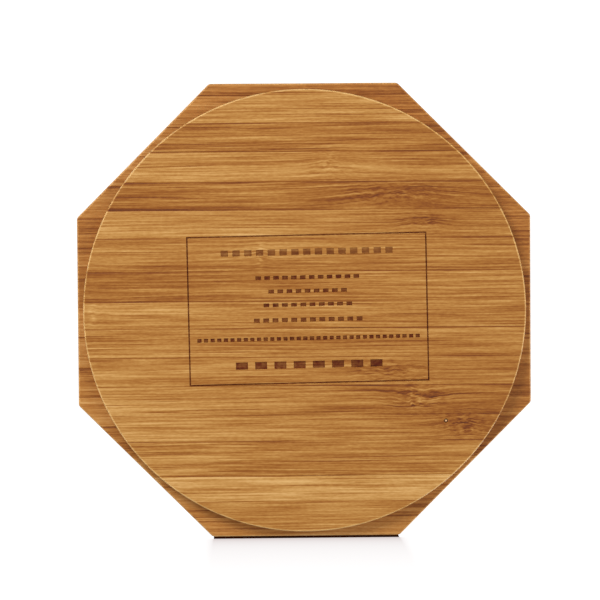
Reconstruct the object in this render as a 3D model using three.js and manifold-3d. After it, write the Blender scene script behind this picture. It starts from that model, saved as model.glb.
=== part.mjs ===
// An octagonal bamboo wireless charging pad, lying on its round base plate with the charging face up.
// Millimetres, +Z up. The origin is the middle of the underside, +Y points at the side with the power socket,
// and the engraved frame reads the right way up when the pad is seen from below with +Y at the top.
import * as THREE from "three";
import { mergeVertices } from "three/addons/utils/BufferGeometryUtils.js";
import Module from "manifold-3d";

// ---- Driving dimensions ----

// Bamboo body and base plate
const acrossFlats = 90; // octagon, flat to flat
const bodyThickness = 7;
const skinThickness = 2; // bamboo left between the coil and the phone
const sideWall = 5.5; // bamboo between the round pocket and a flat
const cornerRadius = 1; // upright corners of the octagon
const bodyEdgeRound = 0.4;
const basePlateInset = 1.2; // from a flat to the base plate's rim
const basePlateThickness = 2.9;
const baseEdgeRound = 0.3;
const glueThickness = 0.1;
const glueInset = 0.6; // the glue stops this far inside the base plate's rim
const bondGap = 0.02; // left between faces that are stuck together

// Engraving on the underside
const engravingDepth = 0.15;
const engravedFrameWidth = 47.2;
const engravedFrameHeight = 29.5;
const engravedLineWidth = 0.25;
const engravingOffset = { right: 0.6, up: 0.4 }; // as seen from below
const engravingTurn = 0.9; // degrees anticlockwise, as seen from below
const engravedRows = [
  { up: 11.3, width: 34, bars: 15, height: 1.2 },
  { up: 6.3, width: 20.5, bars: 12, height: 0.7 },
  { up: 3.6, width: 15.5, bars: 9, height: 0.7 },
  { up: 0.9, width: 17.5, bars: 10, height: 0.7 },
  { up: -2.1, width: 21.5, bars: 12, height: 0.8 },
  { up: -5.8, width: 44, bars: 34, height: 0.7 },
  { up: -11, width: 29, bars: 8, height: 1.4 },
];
const barFill = 0.62; // share of a bar's pitch that is cut

// Transmitter coil, its ferrite and its padding
const wireThickness = 1;
const turnGap = 0.08;
const coilTurns = 10;
const coilInnerRadius = 10.25;
const coilTapeThickness = 0.1;
const coilTapeMargin = 0.6;
const ferriteThickness = 0.8;
const ferriteMargin = 2.6; // how far the ferrite reaches past the coil
const ferriteNotchWidth = 2.4;
const foamMargin = 6; // how far the foam pad stays inside the ferrite
const leadDiameter = 0.7;
const leadSpread = 14; // degrees between the two leads' solder pads
const leadPadOffset = 3.2; // from the ferrite's rim to the solder pads
const leadBend = 1.4;
const solderRadius = 1.1;
const solderHeight = 0.7;

// Circuit board
const boardThickness = 0.8;
const boardClearance = 1.5; // from the pocket's wall to the board's rim
const boardTapeThickness = 0.3;
const boardTapeRadius = 18;
const boardTabWidth = 10.4;
const tabClearance = 0.4;

// Micro-USB power socket
const socketWidth = 7.5;
const socketHeight = 2.5;
const socketDepth = 5.6;
const socketWall = 0.25;
const socketChamfer = 0.8;
const socketRecess = 0.4; // from the flat to the socket's mouth
const socketClearance = 0.45; // round the socket in the bamboo
const slotCornerRadius = 1;
const socketLip = 1.6; // bamboo left in front of the board's tab
const socketLegLength = 1.1;
const socketLegPlaces = [0.4, 0.8]; // shares of the socket's depth, from the mouth
const socketFootReach = 0.7;
const tongueWidth = 3.7;
const tongueThickness = 0.6;
const tongueLength = 3.2;
const insertLength = 1.6;
const insertClearance = 0.05;
const contactPitch = 0.65;
const contactWidth = 0.35;
const contactThickness = 0.12;
const contactCount = 5;
const contactTip = 0.5; // from the contacts' ends to the tongue's end
const contactDrop = 0.5; // from the sleeve's back to where the contacts turn down

// Indicator light
const ledInset = 2.57; // from the board's rim to the light
const ledAngle = 218.3;
const ledHeight = 0.6;
const ledBaseSize = [1.6, 0.8, 0.25];
const ledLensLength = 1.1;
const ledPocketRadius = 2.5;
const ledPocketDepth = 1.2;
const lightGuideRadius = 0.22;
const lightGuideClearance = 0.16;
const lightGuideRecess = 0.05;

// Chips on the board: length, width and height
const controllerSize = [5, 5, 0.9];
const powerChipSize = [4.9, 3.9, 1.4];
const resonanceCapacitorSize = [3.2, 2.5, 1.6];
const inputCapacitorSize = [3.2, 1.6, 1.4];
const resistorSize = [1.6, 0.8, 0.45];

// Where the chips stand round the coil, in degrees
const controllerAngle = 40;
const powerChipAngles = [8, -20];
const resonanceCapacitorAngles = [228, 238, 248, -46];
const inputCapacitorAngles = [66, 114];
const resistorAngles = [132, 150, 168, 205];

// How finely round shapes are divided
const rimSegments = 240;
const pocketSegments = 72;
const discSegments = 48;
const smallSegments = 16;
const cornerSegments = 2;
const edgeSegments = 2;
const stepsPerTurn = 20;
const leadSteps = 12;
const leadSides = 8;

// ---- Heights, from the underside up ----

const overshoot = 1; // how far a cutter runs past the face it cuts
const mergeDistance = 1e-4;
const glueBottom = basePlateThickness;
const bodyBottom = basePlateThickness + glueThickness;
const bodyTop = bodyBottom + bodyThickness;
const pocketCeiling = bodyTop - skinThickness;
const boardBottom = basePlateThickness + boardTapeThickness + 2 * bondGap;
const boardTop = boardBottom + boardThickness;
const coilTapeTop = pocketCeiling - bondGap;
const coilTop = coilTapeTop - coilTapeThickness - bondGap;
const coilMiddle = coilTop - wireThickness / 2;
const ferriteTop = coilTop - wireThickness - bondGap;
const ferriteBottom = ferriteTop - ferriteThickness;

// ---- Radii and places ----

const flatRadius = acrossFlats / 2;
const basePlateRadius = flatRadius - basePlateInset;
const pocketRadius = flatRadius - sideWall;
const boardRadius = pocketRadius - boardClearance;
const turnPitch = wireThickness + turnGap;
const coilOuterRadius = coilInnerRadius + coilTurns * turnPitch + wireThickness;
const ferriteRadius = coilOuterRadius + ferriteMargin;
const chipRadius = (ferriteRadius + boardRadius) / 2;
const socketMouth = flatRadius - socketRecess;
const tabEnd = flatRadius - socketLip - tabClearance;
const leadAngle = -90; // the side away from the socket

// ---- Tools ----

const wasm = await Module();
wasm.setup();

// A closed geometry, moved to (x, y, z), as a solid that can be joined and cut.
function solid(geometry, x = 0, y = 0, z = 0) {
  const bare = geometry.clone().translate(x, y, z);
  bare.deleteAttribute("normal");
  bare.deleteAttribute("uv");
  const merged = mergeVertices(bare, mergeDistance);
  return new wasm.Manifold(
    new wasm.Mesh({
      numProp: 3,
      vertProperties: merged.attributes.position.array,
      triVerts: new Uint32Array(merged.index.array),
    }),
  );
}

// A joined or cut solid as a geometry again.
function geometryOf(body) {
  const mesh = body.getMesh();
  const geometry = new THREE.BufferGeometry();
  geometry.setAttribute("position", new THREE.BufferAttribute(mesh.vertProperties, 3));
  geometry.setIndex(new THREE.BufferAttribute(mesh.triVerts, 1));
  geometry.computeVertexNormals();
  return geometry;
}

// A disc or rod on the Z axis with its lower face at z = 0.
function disc(radius, height, segments) {
  return new THREE.CylinderGeometry(radius, radius, height, segments)
    .rotateX(Math.PI / 2)
    .translate(0, 0, height / 2);
}

// A block centred in X and Y with its lower face at z = 0.
function block(length, width, height) {
  return new THREE.BoxGeometry(length, width, height).translate(0, 0, height / 2);
}

// The unit vector at an angle in degrees, in the XY plane.
function direction(degrees) {
  const angle = THREE.MathUtils.degToRad(degrees);
  return new THREE.Vector2(Math.cos(angle), Math.sin(angle));
}

// A tube of a plain section along a curve.
function tube(curve, section, steps) {
  return new THREE.ExtrudeGeometry(section, { steps, extrudePath: curve, curveSegments: leadSides / 2 });
}

function material(color, roughness, metalness = 0) {
  return new THREE.MeshStandardMaterial({ color, roughness, metalness });
}

function part(name, geometry, finish) {
  const mesh = new THREE.Mesh(geometry, finish);
  mesh.name = name;
  return mesh;
}

const bamboo = material(0xc8965a, 0.55);
const paleBamboo = material(0xd0a068, 0.5);
const glue = material(0xb49a6c, 0.6);
const tape = material(0xe8e4d8, 0.7);
const foam = material(0x2c2c2e, 0.95);
const copper = material(0xb5653a, 0.35, 0.9);
const ferrite = material(0x3a3a3e, 0.6);
const boardGreen = material(0x14502e, 0.45);
const steel = material(0xb8bcc0, 0.3, 1);
const gold = material(0xc9a24a, 0.3, 1);
const solderMetal = material(0xa8aab0, 0.35, 1);
const blackPlastic = material(0x1a1a1c, 0.5);
const ceramic = material(0x9c7850, 0.5);
const ledWhite = material(0xf2f0dc, 0.3);
const clearPlastic = material(0xf4f6f8, 0.15);

// ---- Octagonal bamboo body: milled from one board, with a pocket from below ----

function octagonOutline() {
  const outline = new THREE.Shape();
  const centreRadius = (flatRadius - cornerRadius) / Math.cos(Math.PI / 8);
  for (let corner = 0; corner < 8; corner++) {
    const angle = ((corner + 0.5) * Math.PI) / 4;
    const x = centreRadius * Math.cos(angle);
    const y = centreRadius * Math.sin(angle);
    outline.absarc(x, y, cornerRadius, angle - Math.PI / 8, angle + Math.PI / 8, false);
  }
  return outline;
}

// The socket's hole in the side wall: a rectangle with round corners, cut along Y.
function socketSlot() {
  const halfWidth = socketWidth / 2 + socketClearance - slotCornerRadius;
  const halfHeight = socketHeight / 2 + socketClearance - slotCornerRadius;
  const outline = new THREE.Shape();
  outline.absarc(halfWidth, halfHeight, slotCornerRadius, 0, Math.PI / 2, false);
  outline.absarc(-halfWidth, halfHeight, slotCornerRadius, Math.PI / 2, Math.PI, false);
  outline.absarc(-halfWidth, -halfHeight, slotCornerRadius, Math.PI, 1.5 * Math.PI, false);
  outline.absarc(halfWidth, -halfHeight, slotCornerRadius, 1.5 * Math.PI, 2 * Math.PI, false);
  const slot = new THREE.ExtrudeGeometry(outline, {
    depth: socketLip + 2 * overshoot,
    bevelEnabled: false,
    curveSegments: cornerSegments,
  });
  return slot.rotateX(Math.PI / 2).translate(0, flatRadius + overshoot, boardTop + socketHeight / 2);
}

function bambooBody() {
  const board = new THREE.ExtrudeGeometry(octagonOutline(), {
    depth: bodyThickness - 2 * bodyEdgeRound,
    bevelThickness: bodyEdgeRound,
    bevelSize: bodyEdgeRound,
    bevelOffset: -bodyEdgeRound,
    bevelSegments: edgeSegments,
    curveSegments: cornerSegments,
  });
  const pocketDepth = pocketCeiling - bodyBottom;
  const pocket = disc(pocketRadius, pocketDepth + overshoot, pocketSegments);
  const channelEnd = flatRadius - socketLip;
  const channelWidth = boardTabWidth + 2 * tabClearance;
  const channel = block(channelWidth, channelEnd, pocketDepth + overshoot);
  return geometryOf(
    solid(board, 0, 0, bodyBottom + bodyEdgeRound)
      .subtract(solid(pocket, 0, 0, bodyBottom - overshoot))
      .subtract(solid(channel, 0, channelEnd / 2, bodyBottom - overshoot))
      .subtract(solid(socketSlot())),
  );
}

// ---- Round bamboo base plate: rounded rim, engraving below, a small pocket and pinhole for the light ----

function basePlateBlank() {
  const rim = new THREE.Path();
  rim.moveTo(0, 0);
  rim.lineTo(basePlateRadius - baseEdgeRound, 0);
  rim.absarc(basePlateRadius - baseEdgeRound, baseEdgeRound, baseEdgeRound, -Math.PI / 2, 0, false);
  rim.lineTo(basePlateRadius, basePlateThickness);
  rim.lineTo(0, basePlateThickness);
  return new THREE.LatheGeometry(rim.getPoints(edgeSegments), rimSegments).rotateX(Math.PI / 2);
}

// A shallow rectangular cutter in the underside, placed in the frame of the engraving.
function engravedBlock(right, up, width, height) {
  return block(width, height, engravingDepth + overshoot).translate(-right, up, -overshoot);
}

function engravedFrame() {
  const outer = engravedBlock(0, 0, engravedFrameWidth, engravedFrameHeight);
  const innerWidth = engravedFrameWidth - 2 * engravedLineWidth;
  const innerHeight = engravedFrameHeight - 2 * engravedLineWidth;
  return solid(outer).subtract(solid(engravedBlock(0, 0, innerWidth, innerHeight)));
}

// The rows inside the frame are plain bars, evenly spaced and centred.
function engravedBars() {
  return engravedRows.flatMap((row) => {
    const pitch = row.width / (row.bars - 1 + barFill);
    return Array.from({ length: row.bars }, (_, bar) => {
      const right = (bar - (row.bars - 1) / 2) * pitch;
      return engravedBlock(right, row.up, pitch * barFill, row.height);
    });
  });
}

function bambooBasePlate() {
  const bars = engravedBars().map((bar) => solid(bar));
  const engraving = bars
    .reduce((all, bar) => all.add(bar), engravedFrame())
    .rotate([0, 0, -engravingTurn])
    .translate([-engravingOffset.right, engravingOffset.up, 0]);
  const led = ledPlace();
  const pinholeDepth = basePlateThickness + 2 * overshoot;
  const pinhole = disc(lightGuideRadius + lightGuideClearance, pinholeDepth, smallSegments);
  const ledPocket = disc(ledPocketRadius, ledPocketDepth + overshoot, discSegments);
  return geometryOf(
    solid(basePlateBlank())
      .subtract(engraving)
      .subtract(solid(pinhole, led.x, led.y, -overshoot))
      .subtract(solid(ledPocket, led.x, led.y, basePlateThickness - ledPocketDepth)),
  );
}

// A flat ring on the Z axis with its lower face at z = 0.
function ring(innerRadius, outerRadius, height, segments) {
  const outline = new THREE.Shape().absarc(0, 0, outerRadius, 0, 2 * Math.PI, false);
  outline.holes.push(new THREE.Path().absarc(0, 0, innerRadius, 0, 2 * Math.PI, false));
  return new THREE.ExtrudeGeometry(outline, {
    depth: height,
    bevelEnabled: false,
    curveSegments: segments / 2,
  });
}

function baseGlueRing() {
  const innerRadius = pocketRadius + glueInset;
  const outerRadius = basePlateRadius - glueInset;
  return ring(innerRadius, outerRadius, glueThickness - 2 * bondGap, pocketSegments).translate(
    0,
    0,
    glueBottom + bondGap,
  );
}

// The board's tab runs in a channel out to the socket, and the glue leaves that channel open.
function openedGlueRing() {
  const channel = block(boardTabWidth + 2 * tabClearance, flatRadius, 2 * overshoot);
  const channelSolid = solid(channel, 0, flatRadius / 2, glueBottom - overshoot);
  return geometryOf(solid(baseGlueRing()).subtract(channelSolid));
}

// ---- Transmitter coil: a flat spiral of square-laid litz wire, with its two leads ----

// Its steps are equal angles, not equal lengths, so the flats of neighbouring turns lie side by side.
class FlatSpiral extends THREE.Curve {
  getPoint(t, target = new THREE.Vector3()) {
    const angle = THREE.MathUtils.degToRad(leadAngle) + 2 * Math.PI * coilTurns * t;
    const radius = coilInnerRadius + wireThickness / 2 + turnPitch * coilTurns * t;
    return target.set(radius * Math.cos(angle), radius * Math.sin(angle), coilMiddle);
  }

  getPointAt(t, target) {
    return this.getPoint(t, target);
  }

  getTangentAt(t, target) {
    return this.getTangent(t, target);
  }
}

function squareSection(side) {
  const half = side / 2;
  return new THREE.Shape([
    new THREE.Vector2(-half, -half),
    new THREE.Vector2(half, -half),
    new THREE.Vector2(half, half),
    new THREE.Vector2(-half, half),
  ]);
}

function transmitterCoil() {
  return tube(new FlatSpiral(), squareSection(wireThickness), coilTurns * stepsPerTurn);
}

function leadPadPlace(degreesAside) {
  return direction(leadAngle + degreesAside).multiplyScalar(ferriteRadius + leadPadOffset);
}

// A lead from a start point, level past the ferrite's rim, then bent down onto its solder.
function coilLead(start, pad) {
  const above = new THREE.Vector3(pad.x, pad.y, start.z);
  const bendStart = above.clone().add(start.clone().sub(above).setLength(leadBend));
  const end = new THREE.Vector3(pad.x, pad.y, boardTop + bondGap + solderHeight + bondGap);
  const path = new THREE.CurvePath();
  path.add(new THREE.LineCurve3(start, bendStart));
  path.add(new THREE.QuadraticBezierCurve3(bendStart, above, end));
  const section = new THREE.Shape().absarc(0, 0, leadDiameter / 2, 0, 2 * Math.PI, false);
  return tube(path, section, leadSteps);
}

// The inner lead runs in the ferrite's notch, under the turns.
function innerLeadStart() {
  const place = direction(leadAngle).multiplyScalar(coilInnerRadius + wireThickness / 2);
  return new THREE.Vector3(place.x, place.y, ferriteBottom + ferriteThickness / 2);
}

// The outer lead starts just past the end of the last turn.
function outerLeadStart() {
  const place = direction(leadAngle).multiplyScalar(coilOuterRadius - wireThickness / 2);
  return new THREE.Vector3(place.x + leadDiameter, place.y, coilMiddle);
}

// Solder is a low dome: a quarter ellipse turned about its own axis.
function solderDome() {
  const profile = [new THREE.Vector2(0, 0)];
  for (let step = 0; step <= cornerSegments; step++) {
    const angle = (step / cornerSegments) * (Math.PI / 2);
    profile.push(new THREE.Vector2(solderRadius * Math.cos(angle), solderHeight * Math.sin(angle)));
  }
  profile[profile.length - 1].x = 0;
  return new THREE.LatheGeometry(profile, smallSegments).rotateX(Math.PI / 2);
}

function ferriteShield() {
  const plate = disc(ferriteRadius, ferriteThickness, discSegments);
  const notchStart = coilInnerRadius - wireThickness;
  const notchLength = ferriteRadius + overshoot - notchStart;
  const notch = block(ferriteNotchWidth, notchLength, ferriteThickness + 2 * overshoot);
  return geometryOf(solid(plate).subtract(solid(notch, 0, -notchStart - notchLength / 2, -overshoot)));
}

// ---- Circuit board: round, with a tab that carries the power socket ----

function circuitBoard() {
  const tab = block(boardTabWidth, tabEnd, boardThickness);
  return geometryOf(
    solid(disc(boardRadius, boardThickness, pocketSegments)).add(solid(tab, 0, tabEnd / 2, 0)),
  );
}

// ---- Micro-USB socket: its own origin is at the mouth, on the board, with +Y out of the mouth ----

function socketOutline(inset, Outline) {
  const halfWidth = socketWidth / 2 - inset;
  const low = inset;
  const high = socketHeight - inset;
  return new Outline([
    new THREE.Vector2(-halfWidth, high),
    new THREE.Vector2(-halfWidth, low + socketChamfer),
    new THREE.Vector2(-halfWidth + socketChamfer, low),
    new THREE.Vector2(halfWidth - socketChamfer, low),
    new THREE.Vector2(halfWidth, low + socketChamfer),
    new THREE.Vector2(halfWidth, high),
  ]);
}

// Four folded legs: each hangs from a side wall and ends in a foot on the board.
function socketLegs() {
  const legs = [];
  for (const side of [-1, 1]) {
    for (const place of socketLegPlaces) {
      const y = -socketDepth * place;
      const wall = block(socketWall, socketLegLength, socketChamfer + 2 * socketWall);
      const foot = block(socketFootReach + socketWall, socketLegLength, socketWall);
      const wallX = side * (socketWidth / 2 - socketWall / 2);
      const footX = side * (socketWidth / 2 + (socketFootReach - socketWall) / 2);
      legs.push(solid(wall, wallX, y, 0), solid(foot, footX, y, 0));
    }
  }
  return legs;
}

function socketShell() {
  const outline = socketOutline(0, THREE.Shape);
  outline.holes.push(socketOutline(socketWall, THREE.Path));
  const sleeve = new THREE.ExtrudeGeometry(outline, { depth: socketDepth, bevelEnabled: false });
  return geometryOf(socketLegs().reduce((shell, leg) => shell.add(leg), solid(sleeve.rotateX(Math.PI / 2))));
}

const contactTop = socketHeight / 2 - contactThickness;
const contactFront = -socketDepth + insertLength + tongueLength - contactTip;
const contactBack = -socketDepth - contactDrop;

// One contact: a strip under the tongue, through the insert, down behind it and out to a foot on the board.
function socketContact() {
  const low = contactTop - contactThickness;
  const side = new THREE.Shape([
    new THREE.Vector2(contactFront, low),
    new THREE.Vector2(contactFront, contactTop),
    new THREE.Vector2(contactBack - contactThickness, contactTop),
    new THREE.Vector2(contactBack - contactThickness, contactThickness),
    new THREE.Vector2(contactBack - socketFootReach, contactThickness),
    new THREE.Vector2(contactBack - socketFootReach, 0),
    new THREE.Vector2(contactBack, 0),
    new THREE.Vector2(contactBack, low),
  ]);
  return new THREE.ExtrudeGeometry(side, { depth: contactWidth, bevelEnabled: false })
    .rotateY(Math.PI / 2)
    .rotateX(Math.PI / 2)
    .translate(-contactWidth / 2, 0, 0);
}

function contactPlace(number) {
  return (number - (contactCount + 1) / 2) * contactPitch;
}

// The plastic insert: it closes the back of the sleeve and carries the tongue, with a slot for each contact.
function socketInsert() {
  const inset = socketWall + insertClearance;
  const plug = new THREE.ExtrudeGeometry(socketOutline(inset, THREE.Shape), {
    depth: insertLength,
    bevelEnabled: false,
  });
  const tongueStart = -socketDepth + insertLength - overshoot;
  const tongue = block(tongueWidth, tongueLength + overshoot, tongueThickness);
  let insert = solid(plug.rotateX(Math.PI / 2), 0, -socketDepth + insertLength, 0).add(
    solid(tongue, 0, tongueStart + (tongueLength + overshoot) / 2, contactTop + insertClearance),
  );
  const slotHeight = contactThickness + 2 * insertClearance;
  const slot = block(contactWidth + 2 * insertClearance, insertLength + 2 * overshoot, slotHeight);
  const slotMiddle = -socketDepth + insertLength / 2;
  for (let number = 1; number <= contactCount; number++) {
    const low = contactTop - contactThickness - insertClearance;
    insert = insert.subtract(solid(slot, contactPlace(number), slotMiddle, low));
  }
  return geometryOf(insert);
}

function powerSocket() {
  const socket = new THREE.Group();
  socket.add(part("usb_shell", socketShell(), steel));
  socket.add(part("usb_insert", socketInsert(), blackPlastic));
  for (let number = 1; number <= contactCount; number++) {
    const contact = part(`usb_contact_${number}`, socketContact(), gold);
    contact.position.x = contactPlace(number);
    socket.add(contact);
  }
  socket.position.set(0, socketMouth, boardTop + bondGap);
  return socket;
}

// ---- Chips on the board ----

// A two-ended chip: a ceramic block with a metal cap over each end.
function cappedChip([length, width, height]) {
  const capLength = length / 5;
  const capSkin = 0.04;
  const middle = block(length - capLength, width - 2 * capSkin, height - 2 * capSkin);
  const cap = block(capLength, width, height);
  const capX = (length - capLength) / 2;
  return geometryOf(solid(middle, 0, 0, capSkin).add(solid(cap, -capX, 0, 0)).add(solid(cap, capX, 0, 0)));
}

// A leaded power chip: a block with four flat leads along each long side.
function powerChip() {
  const [length, width, height] = powerChipSize;
  const leadsPerSide = 4;
  const leadPitch = 1.27;
  const leadWidth = 0.42;
  const leadThickness = 0.2;
  const leadReach = 1.05;
  const standOff = 0.1;
  let chip = solid(block(length, width, height - standOff), 0, 0, standOff);
  for (const side of [-1, 1]) {
    for (let lead = 0; lead < leadsPerSide; lead++) {
      const x = (lead - (leadsPerSide - 1) / 2) * leadPitch;
      const strip = block(leadWidth, leadReach + leadThickness, leadThickness);
      chip = chip.add(solid(strip, x, side * (width / 2 + (leadReach - leadThickness) / 2), 0));
    }
  }
  return geometryOf(chip);
}

// The controller: a flat square package with a row of pads just proud of each side.
function controllerChip() {
  const [length, width, height] = controllerSize;
  const padPitch = 0.8;
  const padWidth = 0.35;
  const padProud = 0.03;
  const padsPerSide = 5;
  let chip = solid(block(length, width, height));
  for (let pad = 0; pad < padsPerSide; pad++) {
    const along = (pad - (padsPerSide - 1) / 2) * padPitch;
    const acrossY = block(padWidth, width + 2 * padProud, padWidth / 2);
    const acrossX = block(length + 2 * padProud, padWidth, padWidth / 2);
    chip = chip.add(solid(acrossY, along, 0, 0)).add(solid(acrossX, 0, along, 0));
  }
  return geometryOf(chip);
}

// A chip stands on the board at an angle round the coil, with its length along the rim.
function onBoard(mesh, degrees, radius = chipRadius) {
  const place = direction(degrees).multiplyScalar(radius);
  mesh.position.set(place.x, place.y, boardTop + bondGap);
  mesh.rotation.z = THREE.MathUtils.degToRad(degrees - 90);
  return mesh;
}

function chips() {
  const board = new THREE.Group();
  board.add(onBoard(part("controller_chip", controllerChip(), blackPlastic), controllerAngle));
  powerChipAngles.forEach((degrees, index) => {
    board.add(onBoard(part(`power_chip_${index + 1}`, powerChip(), blackPlastic), degrees));
  });
  resonanceCapacitorAngles.forEach((degrees, index) => {
    const capacitor = cappedChip(resonanceCapacitorSize);
    board.add(onBoard(part(`resonance_capacitor_${index + 1}`, capacitor, ceramic), degrees));
  });
  inputCapacitorAngles.forEach((degrees, index) => {
    const capacitor = cappedChip(inputCapacitorSize);
    board.add(onBoard(part(`input_capacitor_${index + 1}`, capacitor, ceramic), degrees));
  });
  resistorAngles.forEach((degrees, index) => {
    const resistor = cappedChip(resistorSize);
    board.add(onBoard(part(`chip_resistor_${index + 1}`, resistor, blackPlastic), degrees));
  });
  return board;
}

// ---- Indicator light under the board, and the guide that brings it out through the base plate ----

function ledPlace() {
  return direction(ledAngle).multiplyScalar(boardRadius - ledInset);
}

function indicatorLed() {
  const [baseLength, baseWidth, baseHeight] = ledBaseSize;
  const base = block(baseLength, baseWidth, baseHeight);
  const lens = block(ledLensLength, baseWidth, ledHeight);
  return geometryOf(solid(base, 0, 0, ledHeight - baseHeight).add(solid(lens)));
}

function lightGuide() {
  const top = boardBottom - 2 * bondGap - ledHeight - bondGap;
  return disc(lightGuideRadius, top - lightGuideRecess, smallSegments);
}

// ---- Assembly ----

function placed(mesh, x, y, z) {
  mesh.position.set(x, y, z);
  return mesh;
}

function coilStack() {
  const stack = new THREE.Group();
  const tapeDisc = disc(coilOuterRadius + coilTapeMargin, coilTapeThickness, discSegments);
  stack.add(placed(part("coil_tape", tapeDisc, tape), 0, 0, coilTapeTop - coilTapeThickness));
  stack.add(part("transmitter_coil", transmitterCoil(), copper));
  stack.add(placed(part("ferrite_shield", ferriteShield(), ferrite), 0, 0, ferriteBottom));
  const padHeight = ferriteBottom - boardTop - 2 * bondGap;
  const pad = disc(ferriteRadius - foamMargin, padHeight, discSegments);
  stack.add(placed(part("coil_foam_pad", pad, foam), 0, 0, boardTop + bondGap));
  const leads = [
    { name: "inner", start: innerLeadStart(), pad: leadPadPlace(0) },
    { name: "outer", start: outerLeadStart(), pad: leadPadPlace(leadSpread) },
  ];
  for (const { name, start, pad: place } of leads) {
    stack.add(part(`coil_lead_${name}`, coilLead(start, place), copper));
    const solder = part(`coil_solder_${name}`, solderDome(), solderMetal);
    stack.add(placed(solder, place.x, place.y, boardTop + bondGap));
  }
  return stack;
}

function chargingPad() {
  const pad = new THREE.Group();
  pad.add(part("bamboo_body", bambooBody(), bamboo));
  pad.add(part("bamboo_base_plate", bambooBasePlate(), paleBamboo));
  pad.add(part("base_glue_ring", openedGlueRing(), glue));
  pad.add(coilStack());
  pad.add(placed(part("circuit_board", circuitBoard(), boardGreen), 0, 0, boardBottom));
  const boardTape = disc(boardTapeRadius, boardTapeThickness, discSegments);
  pad.add(placed(part("board_tape", boardTape, tape), 0, 0, basePlateThickness + bondGap));
  pad.add(powerSocket());
  pad.add(chips());
  const led = ledPlace();
  const ledBottom = boardBottom - bondGap - ledHeight;
  pad.add(placed(part("indicator_led", indicatorLed(), ledWhite), led.x, led.y, ledBottom));
  pad.add(placed(part("light_guide", lightGuide(), clearPlastic), led.x, led.y, lightGuideRecess));
  return pad;
}

export default chargingPad();
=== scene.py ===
"""Looks of an octagonal bamboo wireless charging pad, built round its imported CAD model.

The pad lies on its round base plate, charging face up, in metres. Small sizes are given in millimetres
and turned into metres by mm(). Seen from below, with the power socket's side at the top, a point that is
so far right and so far up has X = -right and Y = up.
"""

import math

import bmesh
import bpy
import numpy as np
from mathutils import Matrix, Vector


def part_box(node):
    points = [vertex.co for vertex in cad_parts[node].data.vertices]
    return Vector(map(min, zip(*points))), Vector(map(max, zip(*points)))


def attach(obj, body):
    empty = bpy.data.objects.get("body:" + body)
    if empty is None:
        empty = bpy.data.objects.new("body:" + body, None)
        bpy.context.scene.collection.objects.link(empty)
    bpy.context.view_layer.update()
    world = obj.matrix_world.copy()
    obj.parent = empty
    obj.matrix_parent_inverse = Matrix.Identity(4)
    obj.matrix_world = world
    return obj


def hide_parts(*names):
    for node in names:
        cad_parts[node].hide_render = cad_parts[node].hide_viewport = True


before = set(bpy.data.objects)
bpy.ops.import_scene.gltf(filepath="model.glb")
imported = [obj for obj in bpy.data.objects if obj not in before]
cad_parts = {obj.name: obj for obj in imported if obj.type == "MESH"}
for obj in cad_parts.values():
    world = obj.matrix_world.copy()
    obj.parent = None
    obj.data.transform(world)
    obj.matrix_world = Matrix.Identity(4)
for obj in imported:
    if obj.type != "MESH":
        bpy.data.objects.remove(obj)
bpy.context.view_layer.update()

# ---- The bamboo both boards are made of ----
# Laminated side-pressed bamboo: steamed strips about 6 mm wide, stood on edge, glued side by side and
# sanded. Each strip has its own tone, and its dark fibre bundles crowd towards one of its two faces. The
# stalk's joints show as short waves in the fibres.

MM = 0.001
STRIP_WIDTH = 6.0
FADE_REACH = 40.0
JOINT_CROWDING = 5.0
GRAIN_DEPTH = 0.03
BAMBOO_ROUGHNESS = 0.55
OIL_GLOSS = 0.3


def mm(size):
    """A size in millimetres, in metres."""
    return size * MM


def srgb(red, green, blue):
    """A colour given by its three 0-255 screen values, as the linear colour that Blender uses."""
    screen = np.array([red, green, blue]) / 255
    linear = np.where(screen <= 0.04045, screen / 12.92, ((screen + 0.055) / 1.055) ** 2.4)
    return (*linear.tolist(), 1.0)


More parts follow.
